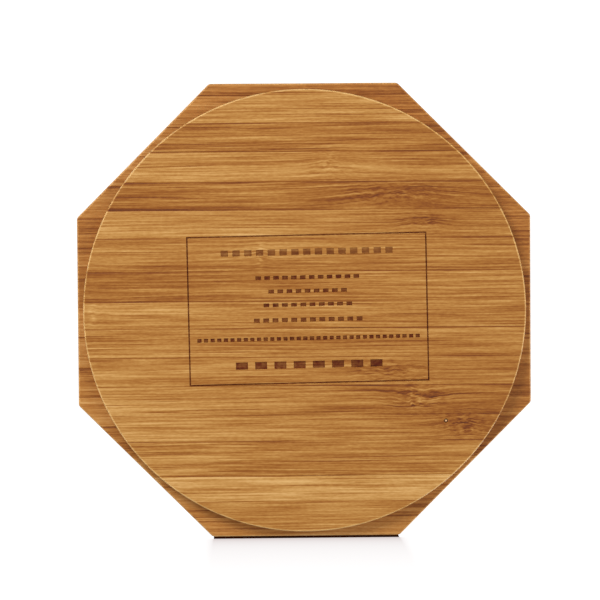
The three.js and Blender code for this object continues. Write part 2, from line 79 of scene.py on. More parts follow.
class Workbench:
    """Puts nodes into one node tree. An input is a plain value, or the output of another node."""

    def __init__(self, tree):
        self.tree = tree

    def put(self, value, socket):
        """Sets a socket to a plain value, or links it to an output."""
        if isinstance(value, bpy.types.NodeSocket):
            self.tree.links.new(value, socket)
        else:
            socket.default_value = value

    def node(self, kind, inputs=None, **settings):
        made = self.tree.nodes.new(kind)
        for name, value in settings.items():
            setattr(made, name, value)
        for name, value in (inputs or {}).items():
            self.put(value, made.inputs[name])
        return made

    def math(self, operation, *values):
        return self.node("ShaderNodeMath", dict(enumerate(values)), operation=operation).outputs[0]

    def chained(self, operation, values):
        made = values[0]
        for value in values[1:]:
            made = self.math(operation, made, value)
        return made

    def total(self, *values):
        return self.chained("ADD", values)

    def times(self, *values):
        return self.chained("MULTIPLY", values)

    def less(self, value, taken_off):
        return self.math("SUBTRACT", value, taken_off)

    def size(self, value):
        return self.math("ABSOLUTE", value)

    def vector(self, operation, *values):
        made = self.node("ShaderNodeVectorMath", dict(enumerate(values)), operation=operation)
        return made.outputs["Value" if operation in {"LENGTH", "DOT_PRODUCT"} else "Vector"]

    def scaled(self, place, along, across, upward):
        """A place stretched by its own factor along each axis."""
        return self.vector("MULTIPLY", place, (along, across, upward))

    def parts(self, place):
        return self.node("ShaderNodeSeparateXYZ", {0: place}).outputs

    def joined(self, x, y, z):
        return self.node("ShaderNodeCombineXYZ", {0: x, 1: y, 2: z}).outputs[0]

    def noise(self, place, seed=0.0, scale=1.0, detail=2.0, roughness=0.5):
        inputs = {"Vector": place, "W": seed, "Scale": scale, "Detail": detail, "Roughness": roughness}
        return self.node("ShaderNodeTexNoise", inputs, noise_dimensions="4D").outputs[0]

    def step(self, value, low, high, out_low=0.0, out_high=1.0):
        """Rises smoothly from out_low at low to out_high at high."""
        inputs = {0: value, 1: low, 2: high, 3: out_low, 4: out_high}
        made = self.node("ShaderNodeMapRange", inputs, interpolation_type="SMOOTHSTEP")
        return made.outputs[0]

    def swing(self, noise_value, reach):
        """A noise from 0 to 1 as a swing of plus or minus about half its reach."""
        return self.times(self.less(noise_value, 0.5), reach)

    def blend(self, amount, first, second, mode="MIX"):
        inputs = {0: amount, 6: first, 7: second}
        return self.node("ShaderNodeMix", inputs, data_type="RGBA", blend_type=mode).outputs[2]

    def colors(self, value, *stops):
        """A colour ramp through stops of (position, red, green, blue), with screen values from 0 to 255."""
        return self.ramp(value, [(position, srgb(*screen)) for position, *screen in stops])

    def ramp(self, value, stops, interpolation="LINEAR"):
        """A colour ramp through (position, linear colour) stops."""
        made = self.node("ShaderNodeValToRGB", {0: value})
        made.color_ramp.interpolation = interpolation
        elements = made.color_ramp.elements
        elements.remove(elements[1])
        for number, (position, color) in enumerate(stops):
            element = elements[0] if number == 0 else elements.new(position)
            element.position = position
            element.color = color
        return made.outputs[0]

    def between(self, value, low, high):
        """From low to high as a mottle or a noise rises from 0.3 to 0.7."""
        return self.step(value, 0.3, 0.7, low, high)


class MaterialBench(Workbench):
    """A workbench on a new material, whose shader takes the finish."""

    def __init__(self, name):
        self.material = bpy.data.materials.new(name)
        self.material.use_nodes = True
        super().__init__(self.material.node_tree)
        self.shader = self.tree.nodes["Principled BSDF"]

    def object_place(self):
        """The place on the object, in millimetres."""
        place = self.node("ShaderNodeTexCoord").outputs["Object"]
        return self.vector("MULTIPLY", place, (1 / MM,) * 3)

    def finish(self, color, height, depth, rough, metallic=0.0, specular=0.5):
        """The material, with a colour, a roughness, and a height that is counted in a depth in mm."""
        raised = self.node("ShaderNodeBump", {"Height": height, "Distance": mm(depth)}).outputs[0]
        finish = {
            "Base Color": color, "Normal": raised, "Roughness": rough, "Metallic": metallic,
            "Specular IOR Level": specular,
        }
        for name, value in finish.items():
            self.put(value, self.shader.inputs[name])
        return self.material


def node_group(name, takes, gives):
    """A new shader node group with named sockets. Returns its workbench, its inputs and its outlet."""
    group = bpy.data.node_groups.new(name, "ShaderNodeTree")
    kinds = {"value": "NodeSocketFloat", "place": "NodeSocketVector", "colour": "NodeSocketColor"}
    for names, side in ((takes, "INPUT"), (gives, "OUTPUT")):
        for socket, kind in names.items():
            group.interface.new_socket(socket, in_out=side, socket_type=kinds[kind])
    bench = Workbench(group)
    taken = bench.node("NodeGroupInput").outputs
    return bench, taken, bench.node("NodeGroupOutput").inputs


def finished_group(bench, outlet, outcomes):
    """The group that a workbench is on, with its outcomes linked to its outlet."""
    for name, value in outcomes.items():
        bench.put(value, outlet[name])
    return bench.tree


def build_knot_group():
    """A stalk joint in one strip. r is the distance from its centre, counted in its half length and half
    width, and g = exp(-r^2) is 1 at its centre. The fibres are lifted by g times the lift and curl, a pale
    column crosses its middle, and dark dashes gather round it. Joints are chained: each adds to the last."""
    gives = dict.fromkeys(("Lift", "Tone", "Crowd"), "value")
    takes = dict.fromkeys(("Place", "Centre", "Half Size"), "place")
    takes |= dict.fromkeys(("Lift By", "Pale By", "Dark By"), "value") | gives
    bench, taken, outlet = node_group("bamboo joint", takes, gives)
    away = bench.vector("SUBTRACT", taken["Place"], taken["Centre"])
    spread = bench.vector("DIVIDE", away, taken["Half Size"])
    square = bench.vector("DOT_PRODUCT", spread, spread)
    near = bench.math("EXPONENT", bench.times(square, -1.0))
    narrow = bench.scaled(spread, 3.2, 0.9, 0.0)
    narrow_square = bench.vector("DOT_PRODUCT", narrow, narrow)
    column = bench.math("EXPONENT", bench.times(narrow_square, -1.0))
    curl = bench.noise(bench.scaled(taken["Place"], 0.35, 0.5, 0.5), seed=4.0, detail=2.0)
    dash = bench.noise(bench.scaled(taken["Place"], 0.45, 1.9, 1.9), seed=9.0, detail=2.0, roughness=0.7)
    dark = bench.times(near, taken["Dark By"])
    mottled = bench.times(dark, bench.step(dash, 0.44, 0.60, 0.15, 1.5))
    pale = bench.times(column, taken["Pale By"], bench.step(dash, 0.6, 0.42))
    lift = bench.times(near, taken["Lift By"])
    wobble = bench.times(near, bench.swing(curl, 1.9))
    return finished_group(bench, outlet, {
        "Lift": bench.total(taken["Lift"], lift, wobble),
        "Tone": bench.less(bench.total(taken["Tone"], pale), mottled),
        "Crowd": bench.total(taken["Crowd"], bench.times(dark, JOINT_CROWDING)),
    })


def build_grain_group():
    """The fibres of a strip, as noises stretched along X: slow bands, streaks, thin dark fibre bundles with
    a density of their own, and fine fibres. Tone is how much lighter or darker a spot is than its strip."""
    takes = {"Place": "place", "Seed": "value", "Density": "value"}
    bench, taken, outlet = node_group("bamboo grain", takes, {"Tone": "value", "Height": "value"})
    place, seed = taken["Place"], taken["Seed"]
    cloud = bench.noise(bench.scaled(place, 0.016, 0.10, 0.10), seed, detail=1.0)
    band = bench.noise(bench.scaled(place, 0.010, 0.42, 0.42), seed, detail=1.0)
    streak = bench.noise(bench.scaled(place, 0.013, 1.15, 1.15), seed, detail=2.0, roughness=0.75)
    bundle = bench.noise(bench.scaled(place, 0.030, 1.9, 1.9), seed, detail=1.0, roughness=0.6)
    fibre = bench.noise(bench.scaled(place, 0.055, 2.7, 2.7), seed, detail=1.0, roughness=0.9)
    pore = bench.noise(bench.scaled(place, 0.9, 4.0, 4.0), seed, detail=1.0, roughness=0.6)
    edge = bench.less(0.69, bench.times(taken["Density"], 0.2))
    bundled = bench.step(bundle, edge, bench.total(edge, 0.07))
    tone = bench.total(
        bench.swing(cloud, 0.13),
        bench.swing(band, 0.17),
        bench.swing(streak, 0.20),
        bench.swing(fibre, 0.54),
        bench.swing(pore, 0.18),
        bench.times(bundled, -0.10),
    )
    height = bench.total(bench.swing(streak, 0.6), bench.swing(fibre, 0.8), bench.times(bundled, -0.6))
    return finished_group(bench, outlet, {"Tone": tone, "Height": height})


def build_edge_wear_and_highlight_group():
    """Paler wood where sanding has rounded an edge, partly sanding wear and partly a painted highlight.
    Inward and Off Face are the distances in mm from the two faces that meet in the edge, so their root of
    squares is the distance from the edge itself."""
    takes = {"Place": "place", "Inward": "value", "Off Face": "value"}
    bench, taken, outlet = node_group("sanded edge and painted highlight", takes, {"Amount": "value"})
    distance = bench.vector("LENGTH", bench.joined(taken["Inward"], taken["Off Face"], 0.0))
    patchy = bench.swing(bench.noise(bench.scaled(taken["Place"], 0.3, 0.3, 0.3), detail=3.0), 0.3)
    amount = bench.step(bench.total(distance, patchy), 0.34, 0.14)
    return finished_group(bench, outlet, {"Amount": amount})


knot_group = build_knot_group()
grain_group = build_grain_group()
edge_wear_and_highlight_group = build_edge_wear_and_highlight_group()


def pale_edge_and_highlight(bench, place, inward, off_face):
    inputs = {"Place": place, "Inward": inward, "Off Face": off_face}
    return bench.node("ShaderNodeGroup", inputs, node_tree=edge_wear_and_highlight_group).outputs["Amount"]


def bamboo_tone(bench, place, strips, first_edge, joints, seed):
    """The tone and height of a board. strips lists each strip's width in mm, tone, fibre density and fade
    along its length, from the -Y side up; first_edge is the Y of the first strip's outer edge."""
    lift, change, joint_crowd = 0.0, 0.0, 0.0
    for centre, half_size, lift_by, pale_by, dark_by in joints:
        inputs = {
            "Place": place, "Centre": (*centre, 0.0), "Half Size": (*half_size, 1e6), "Lift By": lift_by,
            "Pale By": pale_by, "Dark By": dark_by, "Lift": lift, "Tone": change, "Crowd": joint_crowd,
        }
        joint = bench.node("ShaderNodeGroup", inputs, node_tree=knot_group)
        lift, change, joint_crowd = (joint.outputs[name] for name in ("Lift", "Tone", "Crowd"))
    x, y, z = bench.parts(place)
    bend = bench.swing(bench.noise(bench.scaled(place, 0.018, 0.12, 0.12), seed, detail=1.0), 1.2)
    grain_y = bench.less(bench.total(y, bend), lift)
    count = len(strips)
    edges = first_edge + np.concatenate([[0], np.cumsum([width for width, *_ in strips])])
    span = edges[-1] - edges[0]
    across = bench.math("DIVIDE", bench.less(y, float(edges[0])), float(span))
    grey = [
        (float((edge - edges[0]) / span), (number / count,) * 3 + (1,)) for number, edge in enumerate(edges)
    ]
    numbered = bench.times(bench.ramp(across, grey), float(count))
    number = bench.math("FLOOR", numbered)
    local = bench.math("FRACT", numbered)
    middle = bench.math("DIVIDE", bench.total(number, 0.5), float(count))
    facts = [
        (index / count, (tone, density, 0.5 + fade, 1))
        for index, (_, tone, density, fade) in enumerate(strips)
    ]
    strip_tone, strip_density, strip_fade = bench.parts(bench.ramp(middle, facts, "CONSTANT"))
    strip_seed = bench.total(bench.times(number, 3.7), seed)
    fade = bench.times(bench.less(strip_fade, 0.5), bench.math("DIVIDE", x, FADE_REACH))
    crowd = bench.less(strip_density, bench.times(local, 0.25))
    inputs = {
        "Place": bench.joined(x, grain_y, z), "Seed": strip_seed, "Density": bench.total(crowd, joint_crowd),
    }
    grain = bench.node("ShaderNodeGroup", inputs, node_tree=grain_group)
    from_edge = bench.times(bench.less(0.5, bench.size(bench.less(local, 0.5))), STRIP_WIDTH)
    seam = bench.step(from_edge, 0.05, 0.22, 1.0, 0.0)
    seam_strength = bench.step(bench.noise(bench.scaled(place, 0.02, 0.4, 0.4), seed + 2.0), 0.30, 0.58)
    seam_dark = bench.times(seam, seam_strength, -0.17)
    tone = bench.total(strip_tone, fade, grain.outputs["Tone"], seam_dark, change)
    height = bench.less(grain.outputs["Height"], bench.times(seam, 0.8))
    return tone, height


# ---- Octagonal body ----
# One bamboo board, cut to an octagon with its corners and edges rounded, and milled from below with a round
# pocket for the coil and board, a channel for the socket's tab, and a slot for the socket's mouth.

ACROSS_FLATS = 90.0
BODY_BOTTOM, BODY_TOP = (corner.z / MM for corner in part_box("bamboo_body"))
CORNER_ROUND = 1.0
EDGE_ROUND = 0.4
POCKET_RADIUS = 39.5
SKIN = 2.0
SOCKET_LIP = 1.6
CHANNEL_WIDTH = 11.2
SLOT_WIDTH, SLOT_HEIGHT, SLOT_CORNER = 8.4, 3.4, 1.0
SLOT_FLARE = 0.25
OVERSHOOT = 1.0
SHARP_DEGREES = 35


def put_in_scene(name, data):
    """A new object in the scene, for a mesh, a light or a camera."""
    made = bpy.data.objects.new(name, data)
    bpy.context.scene.collection.objects.link(made)
    return made


def woven_mesh(name, sheets):
    """A closed mesh from sheets of points. A sheet is an array of rows x columns x 3, in millimetres, and
    each four neighbouring points make a face, except where a mask of rows-1 x columns-1 faces says no.
    Points that coincide are then welded, and the faces are turned to point outwards."""
    points, faces, start = [], [], 0
    for sheet in sheets:
        grid, mask = sheet if isinstance(sheet, tuple) else (sheet, None)
        rows, columns = grid.shape[:2]
        index = start + np.arange(rows * columns).reshape(rows, columns)
        quads = np.stack([index[:-1, :-1], index[:-1, 1:], index[1:, 1:], index[1:, :-1]], axis=-1)
        faces.append(quads.reshape(-1, 4) if mask is None else quads[mask])
        points.append(grid.reshape(-1, 3))
        start += rows * columns
    mesh = bpy.data.meshes.new(name)
    mesh.from_pydata((np.concatenate(points) * MM).tolist(), [], np.concatenate(faces).tolist())
    work = bmesh.new()
    work.from_mesh(mesh)
    bmesh.ops.remove_doubles(work, verts=work.verts, dist=mm(0.0005))
    bmesh.ops.dissolve_degenerate(work, edges=work.edges, dist=mm(0.0001))
    bmesh.ops.recalc_face_normals(work, faces=work.faces)
    work.to_mesh(mesh)
    work.free()
    return mesh


def closed(ring):
    """A ring of points with its first point again at its end."""
    return np.concatenate([ring, ring[:1]])


def at_height(ring, z):
    return np.column_stack([ring, np.full(len(ring), z)])


def carried_profile(outline, profile):
    """A profile carried round an outline. outline(inset) gives the ring of XY points moved inwards by inset,
    and profile lists (inset, z). The result is a sheet with one row for each profile point."""
    return np.array([at_height(closed(outline(inset)), z) for inset, z in profile])


def quarter_round(inset, z, radius, start, steps=6):
    """Profile points of a quarter circle about (inset, z), from the angle start in quarter turns."""
    angles = (start + np.linspace(0, 1, steps + 1)) * math.pi / 2
    return np.column_stack([inset + radius * np.cos(angles), z + radius * np.sin(angles)])


def octagon(inset, steps=8):
    """An octagon with flats facing X and Y and round corners: corner k's arc turns by 45 degrees."""
    radius = CORNER_ROUND - inset
    centre = (ACROSS_FLATS / 2 - CORNER_ROUND) / math.cos(math.pi / 8)
    corners = (np.arange(8) + 0.5) * math.pi / 4
    turns = np.linspace(-math.pi / 8, math.pi / 8, steps + 1)
    angles = corners[:, None] + turns[None, :]
    x = centre * np.cos(corners)[:, None] + radius * np.cos(angles)
    y = centre * np.sin(corners)[:, None] + radius * np.sin(angles)
    return np.column_stack([x.ravel(), y.ravel()])


def circle(radius, count):
    angles = np.arange(count) * 2 * math.pi / count
    return np.column_stack([radius * np.cos(angles), radius * np.sin(angles)])


def capped(sheet):
    """A sheet with a flat cap on its first and last row, each drawn in to the middle of its ring."""
    def cap(row):
        middle = np.broadcast_to(row[:-1].mean(0), row.shape)
        return np.array([row, middle])

    return [sheet, cap(sheet[0]), cap(sheet[-1])]


def rounded_slab(name, outline, bottom, top, edge_round):
    """A slab between two heights whose outline's upper and lower edges are quarter rounds."""
    low = quarter_round(edge_round, bottom + edge_round, edge_round, -1)
    high = quarter_round(edge_round, top - edge_round, edge_round, 0)
    low[:, 0] = 2 * edge_round - low[:, 0]
    high[:, 0] = 2 * edge_round - high[:, 0]
    profile = np.concatenate([low, high])
    return woven_mesh(name, capped(carried_profile(outline, profile)))


def pocket_cutter():
    depth_top = BODY_TOP - SKIN
    profile = [(0, BODY_BOTTOM - OVERSHOOT), (0, depth_top)]
    sheet = carried_profile(lambda inset: circle(POCKET_RADIUS - inset, 180), profile)
    return woven_mesh("pocket cutter", capped(sheet))


def channel_cutter():
    """A box from the middle of the board to behind the lip that the socket's slot is cut in."""
    end = ACROSS_FLATS / 2 - SOCKET_LIP
    half = CHANNEL_WIDTH / 2
    ring = np.array([(-half, 0), (half, 0), (half, end), (-half, end)])
    profile = [(0, BODY_BOTTOM - OVERSHOOT), (0, BODY_TOP - SKIN)]
    return woven_mesh("channel cutter", capped(carried_profile(lambda inset: ring, profile)))


def rounded_rectangle(width, height, radius, steps=6):
    """A rectangle's outline with round corners, as points round its middle."""
    corners = np.arange(4) * math.pi / 2
    signs = np.array([(1, 1), (-1, 1), (-1, -1), (1, -1)])
    centres = signs * np.array([width / 2 - radius, height / 2 - radius])
    angles = corners[:, None] + np.linspace(0, math.pi / 2, steps + 1)[None, :]
    x = centres[:, :1] + radius * np.cos(angles)
    y = centres[:, 1:] + radius * np.sin(angles)
    return np.column_stack([x.ravel(), y.ravel()])


def slot_cutter(middle_z):
    """The socket's slot: a rounded rectangle carried along Y, flared by a quarter round at the flat."""
    def section(y, grow):
        ring = closed(rounded_rectangle(SLOT_WIDTH + 2 * grow, SLOT_HEIGHT + 2 * grow, SLOT_CORNER + grow))
        return np.column_stack([ring[:, 0], np.full(len(ring), y), middle_z + ring[:, 1]])

    flat = ACROSS_FLATS / 2
    turns = np.linspace(0, math.pi / 2, 6)
    rows = [section(flat - SOCKET_LIP - OVERSHOOT, 0.0)]
    rows += [
        section(flat - SLOT_FLARE + SLOT_FLARE * math.sin(turn), SLOT_FLARE * (1 - math.cos(turn)))
        for turn in turns
    ]
    rows.append(section(flat + OVERSHOOT, SLOT_FLARE))
    return woven_mesh("slot cutter", capped(np.array(rows)))


def carved(name, mesh, cutters):
    """The mesh with each closed cutter taken away from it."""
    block = put_in_scene("uncut block", mesh)
    tools = [put_in_scene(cutter.name, cutter) for cutter in cutters]
    for tool in tools:
        cut = block.modifiers.new(tool.name, "BOOLEAN")
        cut.operation = "DIFFERENCE"
        cut.solver = "EXACT"
        cut.object = tool
    finished = bpy.data.meshes.new_from_object(block.evaluated_get(bpy.context.evaluated_depsgraph_get()))
    finished.name = name
    for used in [block, *tools]:
        bpy.data.objects.remove(used)
    return finished


def add_piece(mesh, material, node):
    """A finished piece that stands for a CAD node. Its shading is smooth across every edge that turns by
    less than an angle, and flat faces stay flat."""
    piece = put_in_scene(mesh.name, mesh)
    mesh.shade_smooth()
    mesh.set_sharp_from_angle(angle=math.radians(SHARP_DEGREES))
    piece.modifiers.new("flat faces stay flat", "WEIGHTED_NORMAL").keep_sharp = True
    mesh.materials.clear()
    mesh.materials.append(material)
    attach(piece, "root")
    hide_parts(node)
    return piece


def body_strips():
    """The body's strips, from the -Y side up: width in mm, tone, fibre density, and fade towards +X."""
    widths = (5.4, 6.1, 5.8, 6.3, 5.9, 5.7, 6.2, 6.0, 5.6, 6.1, 5.8, 6.4, 5.9, 5.7, 6.2, 6.0)
    tones = (0.53, 0.51, 0.55, 0.47, 0.53, 0.48, 0.52, 0.49, 0.43, 0.48, 0.44, 0.48, 0.52, 0.47, 0.50, 0.48)
    fades = (0.03,) * 13 + (0.10,) * 3
    return [(width, tone, 0.4, fade) for width, tone, fade in zip(widths, tones, fades)]


BODY_FIRST_EDGE = -46.5
BODY_TONES = [
    (0.10, 84, 32, 6),
    (0.285, 120, 60, 10),
    (0.37, 143, 82, 23),
    (0.435, 161, 99, 36),
    (0.50, 178, 116, 48),
    (0.60, 196, 138, 70),
    (0.70, 214, 162, 96),
]


def body_bamboo():
    bench = MaterialBench("body bamboo")
    place = bench.object_place()
    tone, height = bamboo_tone(bench, place, body_strips(), BODY_FIRST_EDGE, [], seed=51.0)
    reach = 0.0
    for side in range(4):
        angle = side * math.pi / 4
        along = bench.vector("DOT_PRODUCT", place, (math.cos(angle), math.sin(angle), 0.0))
        reach = bench.math("MAXIMUM", reach, bench.size(along))
    z = bench.parts(place)[2]
    off_face = bench.math("MINIMUM", bench.less(z, BODY_BOTTOM), bench.less(BODY_TOP, z))
    # The pale rounded edges of the body are partly sanding wear and partly a painted highlight.
    worn_and_highlight = pale_edge_and_highlight(bench, place, bench.less(ACROSS_FLATS / 2, reach), off_face)
    color = bench.colors(bench.total(tone, bench.times(worn_and_highlight, 0.15)), *BODY_TONES)
    return bench.finish(color, height, GRAIN_DEPTH, BAMBOO_ROUGHNESS, specular=OIL_GLOSS)


socket_low, socket_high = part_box("usb_shell")
socket_middle_z = (socket_low.z + socket_high.z) / 2 / MM
block = rounded_slab("uncut block", octagon, BODY_BOTTOM, BODY_TOP, EDGE_ROUND)
body = carved("octagonal_body", block, [pocket_cutter(), channel_cutter(), slot_cutter(socket_middle_z)])
add_piece(body, body_bamboo(), "bamboo_body")

# ---- Coil tape and board tape ----
# Discs of double-sided film tape: one sticks the coil under the bamboo skin, the other holds the circuit
# board down on the base plate. A clear cream glue, with the crossed fibres of its tissue core showing.

FIBRE_TURNS = (10, 64, 118)


def build_mottle_group():
    """The small unevenness of a moulded, cast or sintered surface. A patch is about as wide as Size in mm,
    and fine specks a twelfth of that lie over the patches. Value is 0.5 on average."""
    takes = {"Place": "place", "Size": "place"}
    bench, taken, outlet = node_group("mottle", takes, {"Value": "value", "Height": "value"})
    spot = bench.vector("DIVIDE", taken["Place"], taken["Size"])
    patches = bench.noise(spot, seed=2.0, detail=2.0)
    specks = bench.noise(bench.scaled(spot, 12.0, 12.0, 12.0), seed=5.0, detail=1.0)
    value = bench.total(0.5, bench.swing(patches, 0.9), bench.swing(specks, 0.8))
    height = bench.total(bench.swing(patches, 0.6), bench.swing(specks, 1.0))
    return finished_group(bench, outlet, {"Value": value, "Height": height})


mottle_group = build_mottle_group()


def mottled(bench, place, size):
    """The value and height of the mottle on a surface, with patches of a size in mm."""
    made = bench.node("ShaderNodeGroup", {"Place": place, "Size": (size, size, size)}, node_tree=mottle_group)
    return made.outputs["Value"], made.outputs["Height"]


def mottled_bench(name, size):
    """A bench on a new material, the place on the object, and the value and height of its mottle."""
    bench = MaterialBench(name)
    place = bench.object_place()
    return bench, place, *mottled(bench, place, size)


def finish_nodes(material, *nodes):
    """Puts a material on CAD nodes whose shape stays."""
    for node in nodes:
        for material_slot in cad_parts[node].material_slots:
            material_slot.material = material


def film_tape():
    bench, place, value, height = mottled_bench("tissue tape", 3.0)
    fibres = 0.0
    for turn in FIBRE_TURNS:
        turned = bench.node("ShaderNodeMapping", {"Vector": place, "Rotation": (0, 0, math.radians(turn))})
        strand = bench.noise(bench.scaled(turned.outputs[0], 0.25, 5.0, 1.0), seed=float(turn), detail=1.0)
        fibres = bench.math("MAXIMUM", fibres, bench.step(strand, 0.62, 0.70))
    tone = bench.total(value, bench.times(fibres, 0.35))
    color = bench.colors(tone, (0.3, 196, 188, 166), (0.6, 222, 216, 199), (1.0, 240, 237, 226))
    return bench.finish(color, bench.total(height, fibres), 0.02, bench.between(value, 0.28, 0.45))


finish_nodes(film_tape(), "coil_tape", "board_tape")

# ---- Transmitter coil and its leads ----
# Ten turns of litz wire, a bundle of fine enamelled copper strands twisted and pressed square, wound flat
# from the inside out. Each end comes off the coil as a round lead and is soldered to the board.

WIRE = 1.0
WIRE_ROUND = 0.28
TURN_PITCH = 1.08
COIL_TURNS = 10
COIL_INNER_RADIUS = 10.25
COIL_START_ANGLE = -90.0
STEPS_PER_TURN = 96
STRANDS_PER_TURN = 230
LEAD_RADIUS = 0.35
LEAD_BEND = 1.4
LEAD_SPREAD = 14.0
LEAD_PAD_OFFSET = 3.2
FERRITE_MARGIN = 2.6
coil_low, coil_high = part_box("transmitter_coil")
ferrite_low, ferrite_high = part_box("ferrite_shield")
solder_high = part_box("coil_solder_inner")[1]
COIL_MIDDLE_Z = (coil_low.z + coil_high.z) / 2 / MM
COIL_OUTER_RADIUS = COIL_INNER_RADIUS + COIL_TURNS * TURN_PITCH + WIRE
FERRITE_RADIUS = COIL_OUTER_RADIUS + FERRITE_MARGIN


def coil_mesh():
    """A rounded square carried along a spiral: the radius grows by one pitch in each turn."""
    turns = np.linspace(0, COIL_TURNS, COIL_TURNS * STEPS_PER_TURN + 1)
    angle = math.radians(COIL_START_ANGLE) + 2 * math.pi * turns
    radius = COIL_INNER_RADIUS + WIRE / 2 + TURN_PITCH * turns
    section = closed(rounded_rectangle(WIRE, WIRE, WIRE_ROUND, steps=4))
    reach = radius[:, None] + section[None, :, 0]
    height = np.broadcast_to(COIL_MIDDLE_Z + section[:, 1], reach.shape)
    sheet = np.stack([reach * np.cos(angle)[:, None], reach * np.sin(angle)[:, None], height], axis=-1)
    return woven_mesh("litz_coil", capped(sheet))


def lead_path(start, pad, end_z, steps=24):
    """A straight run from the start towards a point above the pad, then a quadratic bend down onto it."""
    start, above = np.array(start), np.array([*pad, start[2]])
    end = np.array([*pad, end_z])
    bend = above + (start - above) / np.linalg.norm(start - above) * LEAD_BEND
    straight = start + (bend - start) * np.linspace(0, 1, 4)[:-1, None]
    t = np.linspace(0, 1, steps)[:, None]
    curve = (1 - t) ** 2 * bend + 2 * t * (1 - t) * above + t ** 2 * end
    return np.concatenate([straight, curve])


def flat_tube(name, path, radius, sides=16):
    """A round tube along a path that stays in one upright plane: each ring is spanned by the plane's normal
    and by what is square to both the normal and the path."""
    ahead = np.gradient(path, axis=0)
    ahead /= np.linalg.norm(ahead, axis=1)[:, None]
    sideways = np.cross(path[-1] - path[0], (0, 0, 1))
    sideways = np.broadcast_to(sideways / np.linalg.norm(sideways), path.shape)
    upward = np.cross(sideways, ahead)
    angles = np.linspace(0, 2 * math.pi, sides + 1)
    cos, sin = (made[None, :, None] for made in (np.cos(angles), np.sin(angles)))
    around = cos * sideways[:, None] + sin * upward[:, None]
    return woven_mesh(name, capped(path[:, None] + radius * around))


def dome_mesh(name, centre, radius, height, rings=12, sides=40):
    """Solder that wets its pad: its height falls off from the middle as half of 1 + cos(pi r / radius)."""
    reach = np.linspace(radius, 0, rings)[:, None]
    angles = np.linspace(0, 2 * math.pi, sides + 1)[None, :]
    z = np.broadcast_to(centre[2] + height * (1 + np.cos(math.pi * reach / radius)) / 2, (rings, sides + 1))
    sheet = np.stack([centre[0] + reach * np.cos(angles), centre[1] + reach * np.sin(angles), z], axis=-1)
    under = np.stack([sheet[0], np.broadcast_to(centre, sheet[0].shape)])
    return woven_mesh(name, [sheet, under])


def litz_copper():
    """Twisted strands: a ridge at each whole number of strands per turn plus a share of the radius."""
    bench, place, value, height = mottled_bench("enamelled litz copper", 2.0)
    x, y, z = bench.parts(place)
    radius = bench.vector("LENGTH", bench.joined(x, y, 0.0))
    turn = bench.math("DIVIDE", bench.math("ARCTAN2", y, x), 2 * math.pi)
    across = bench.total(bench.times(radius, 1.9), bench.times(z, 1.9))
    phase = bench.total(bench.times(turn, float(STRANDS_PER_TURN)), across)
    ridge = bench.size(bench.math("SINE", bench.times(phase, math.pi)))
    # Painted shade between the strands, and lighter colour on their crowns.
    tone = bench.total(bench.times(ridge, 0.6), bench.times(value, 0.4))
    color = bench.colors(tone, (0.1, 92, 38, 16), (0.5, 158, 78, 38), (0.9, 206, 122, 70))
    relief = bench.total(ridge, bench.times(height, 0.2))
    return bench.finish(color, relief, 0.05, bench.between(value, 0.26, 0.40), metallic=0.9)


def tin_solder():
    bench, _, value, height = mottled_bench("tin solder", 0.6)
    color = bench.colors(value, (0.3, 158, 160, 166), (0.7, 205, 207, 210))
    return bench.finish(color, height, 0.012, bench.between(value, 0.2, 0.42), metallic=1.0)


litz = litz_copper()
solder = tin_solder()
add_piece(coil_mesh(), litz, "transmitter_coil")
LEAD_END_Z = solder_high.z / MM
inner_start = (0.0, -COIL_INNER_RADIUS - WIRE / 2, (ferrite_low.z + ferrite_high.z) / 2 / MM)
outer_start = (2 * LEAD_RADIUS, WIRE / 2 - COIL_OUTER_RADIUS, COIL_MIDDLE_Z)
for end, start, spread in (("inner", inner_start, 0.0), ("outer", outer_start, LEAD_SPREAD)):
    pad_angle = math.radians(COIL_START_ANGLE + spread)
    pad_radius = FERRITE_RADIUS + LEAD_PAD_OFFSET
    pad = (pad_radius * math.cos(pad_angle), pad_radius * math.sin(pad_angle))
    lead = flat_tube(f"litz_lead_{end}", lead_path(start, pad, LEAD_END_Z), LEAD_RADIUS)
    add_piece(lead, litz, f"coil_lead_{end}")
    low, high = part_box(f"coil_solder_{end}")
    foot = np.array([(low.x + high.x) / 2, (low.y + high.y) / 2, low.z]) / MM
    dome = dome_mesh(f"solder_dome_{end}", foot, (high.x - low.x) / 2 / MM, (high.z - low.z) / MM)
    add_piece(dome, solder, f"coil_solder_{end}")

# ---- Ferrite shield ----
# A disc of sintered ferrite behind the coil, laid in a thin film and cracked into small squares on purpose,
# so that it doesn't shatter. The cracks show as a faint grid, and the film gives it a dull gloss.

FERRITE_SQUARE = 2.2


def cracked_ferrite():
    bench, place, value, height = mottled_bench("cracked ferrite", 1.5)
    wander = bench.swing(bench.noise(bench.scaled(place, 0.6, 0.6, 0.6), detail=2.0), 0.5)
    crack = 0.0
    for axis in bench.parts(place)[:2]:
        cell = bench.math("FRACT", bench.math("DIVIDE", bench.total(axis, wander), FERRITE_SQUARE))
        from_line = bench.size(bench.less(cell, 0.5))
        crack = bench.math("MAXIMUM", crack, bench.step(from_line, 0.475, 0.495))
    tone = bench.less(value, bench.times(crack, 0.3))
    color = bench.colors(tone, (0.1, 24, 24, 26), (0.5, 52, 52, 56), (0.9, 74, 74, 80))
    return bench.finish(color, bench.less(height, crack), 0.02, bench.between(value, 0.32, 0.5))


finish_nodes(cracked_ferrite(), "ferrite_shield")

# ---- Coil foam pad ----
# A die-cut disc of black closed-cell foam between the ferrite and the board. It is squeezed when the base
# plate goes on, so its side bulges a little and its cut cells show.

FOAM_ROUND = 0.3
foam_low, foam_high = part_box("coil_foam_pad")
FOAM_RADIUS = (foam_high.x - foam_low.x) / 2 / MM


def foam_mesh():
    """A slab on a circle whose rounded edges make the side bulge."""
    def outline(inset):
        return circle(FOAM_RADIUS - inset, 144)

    return rounded_slab("coil_foam_disc", outline, foam_low.z / MM, foam_high.z / MM, FOAM_ROUND)


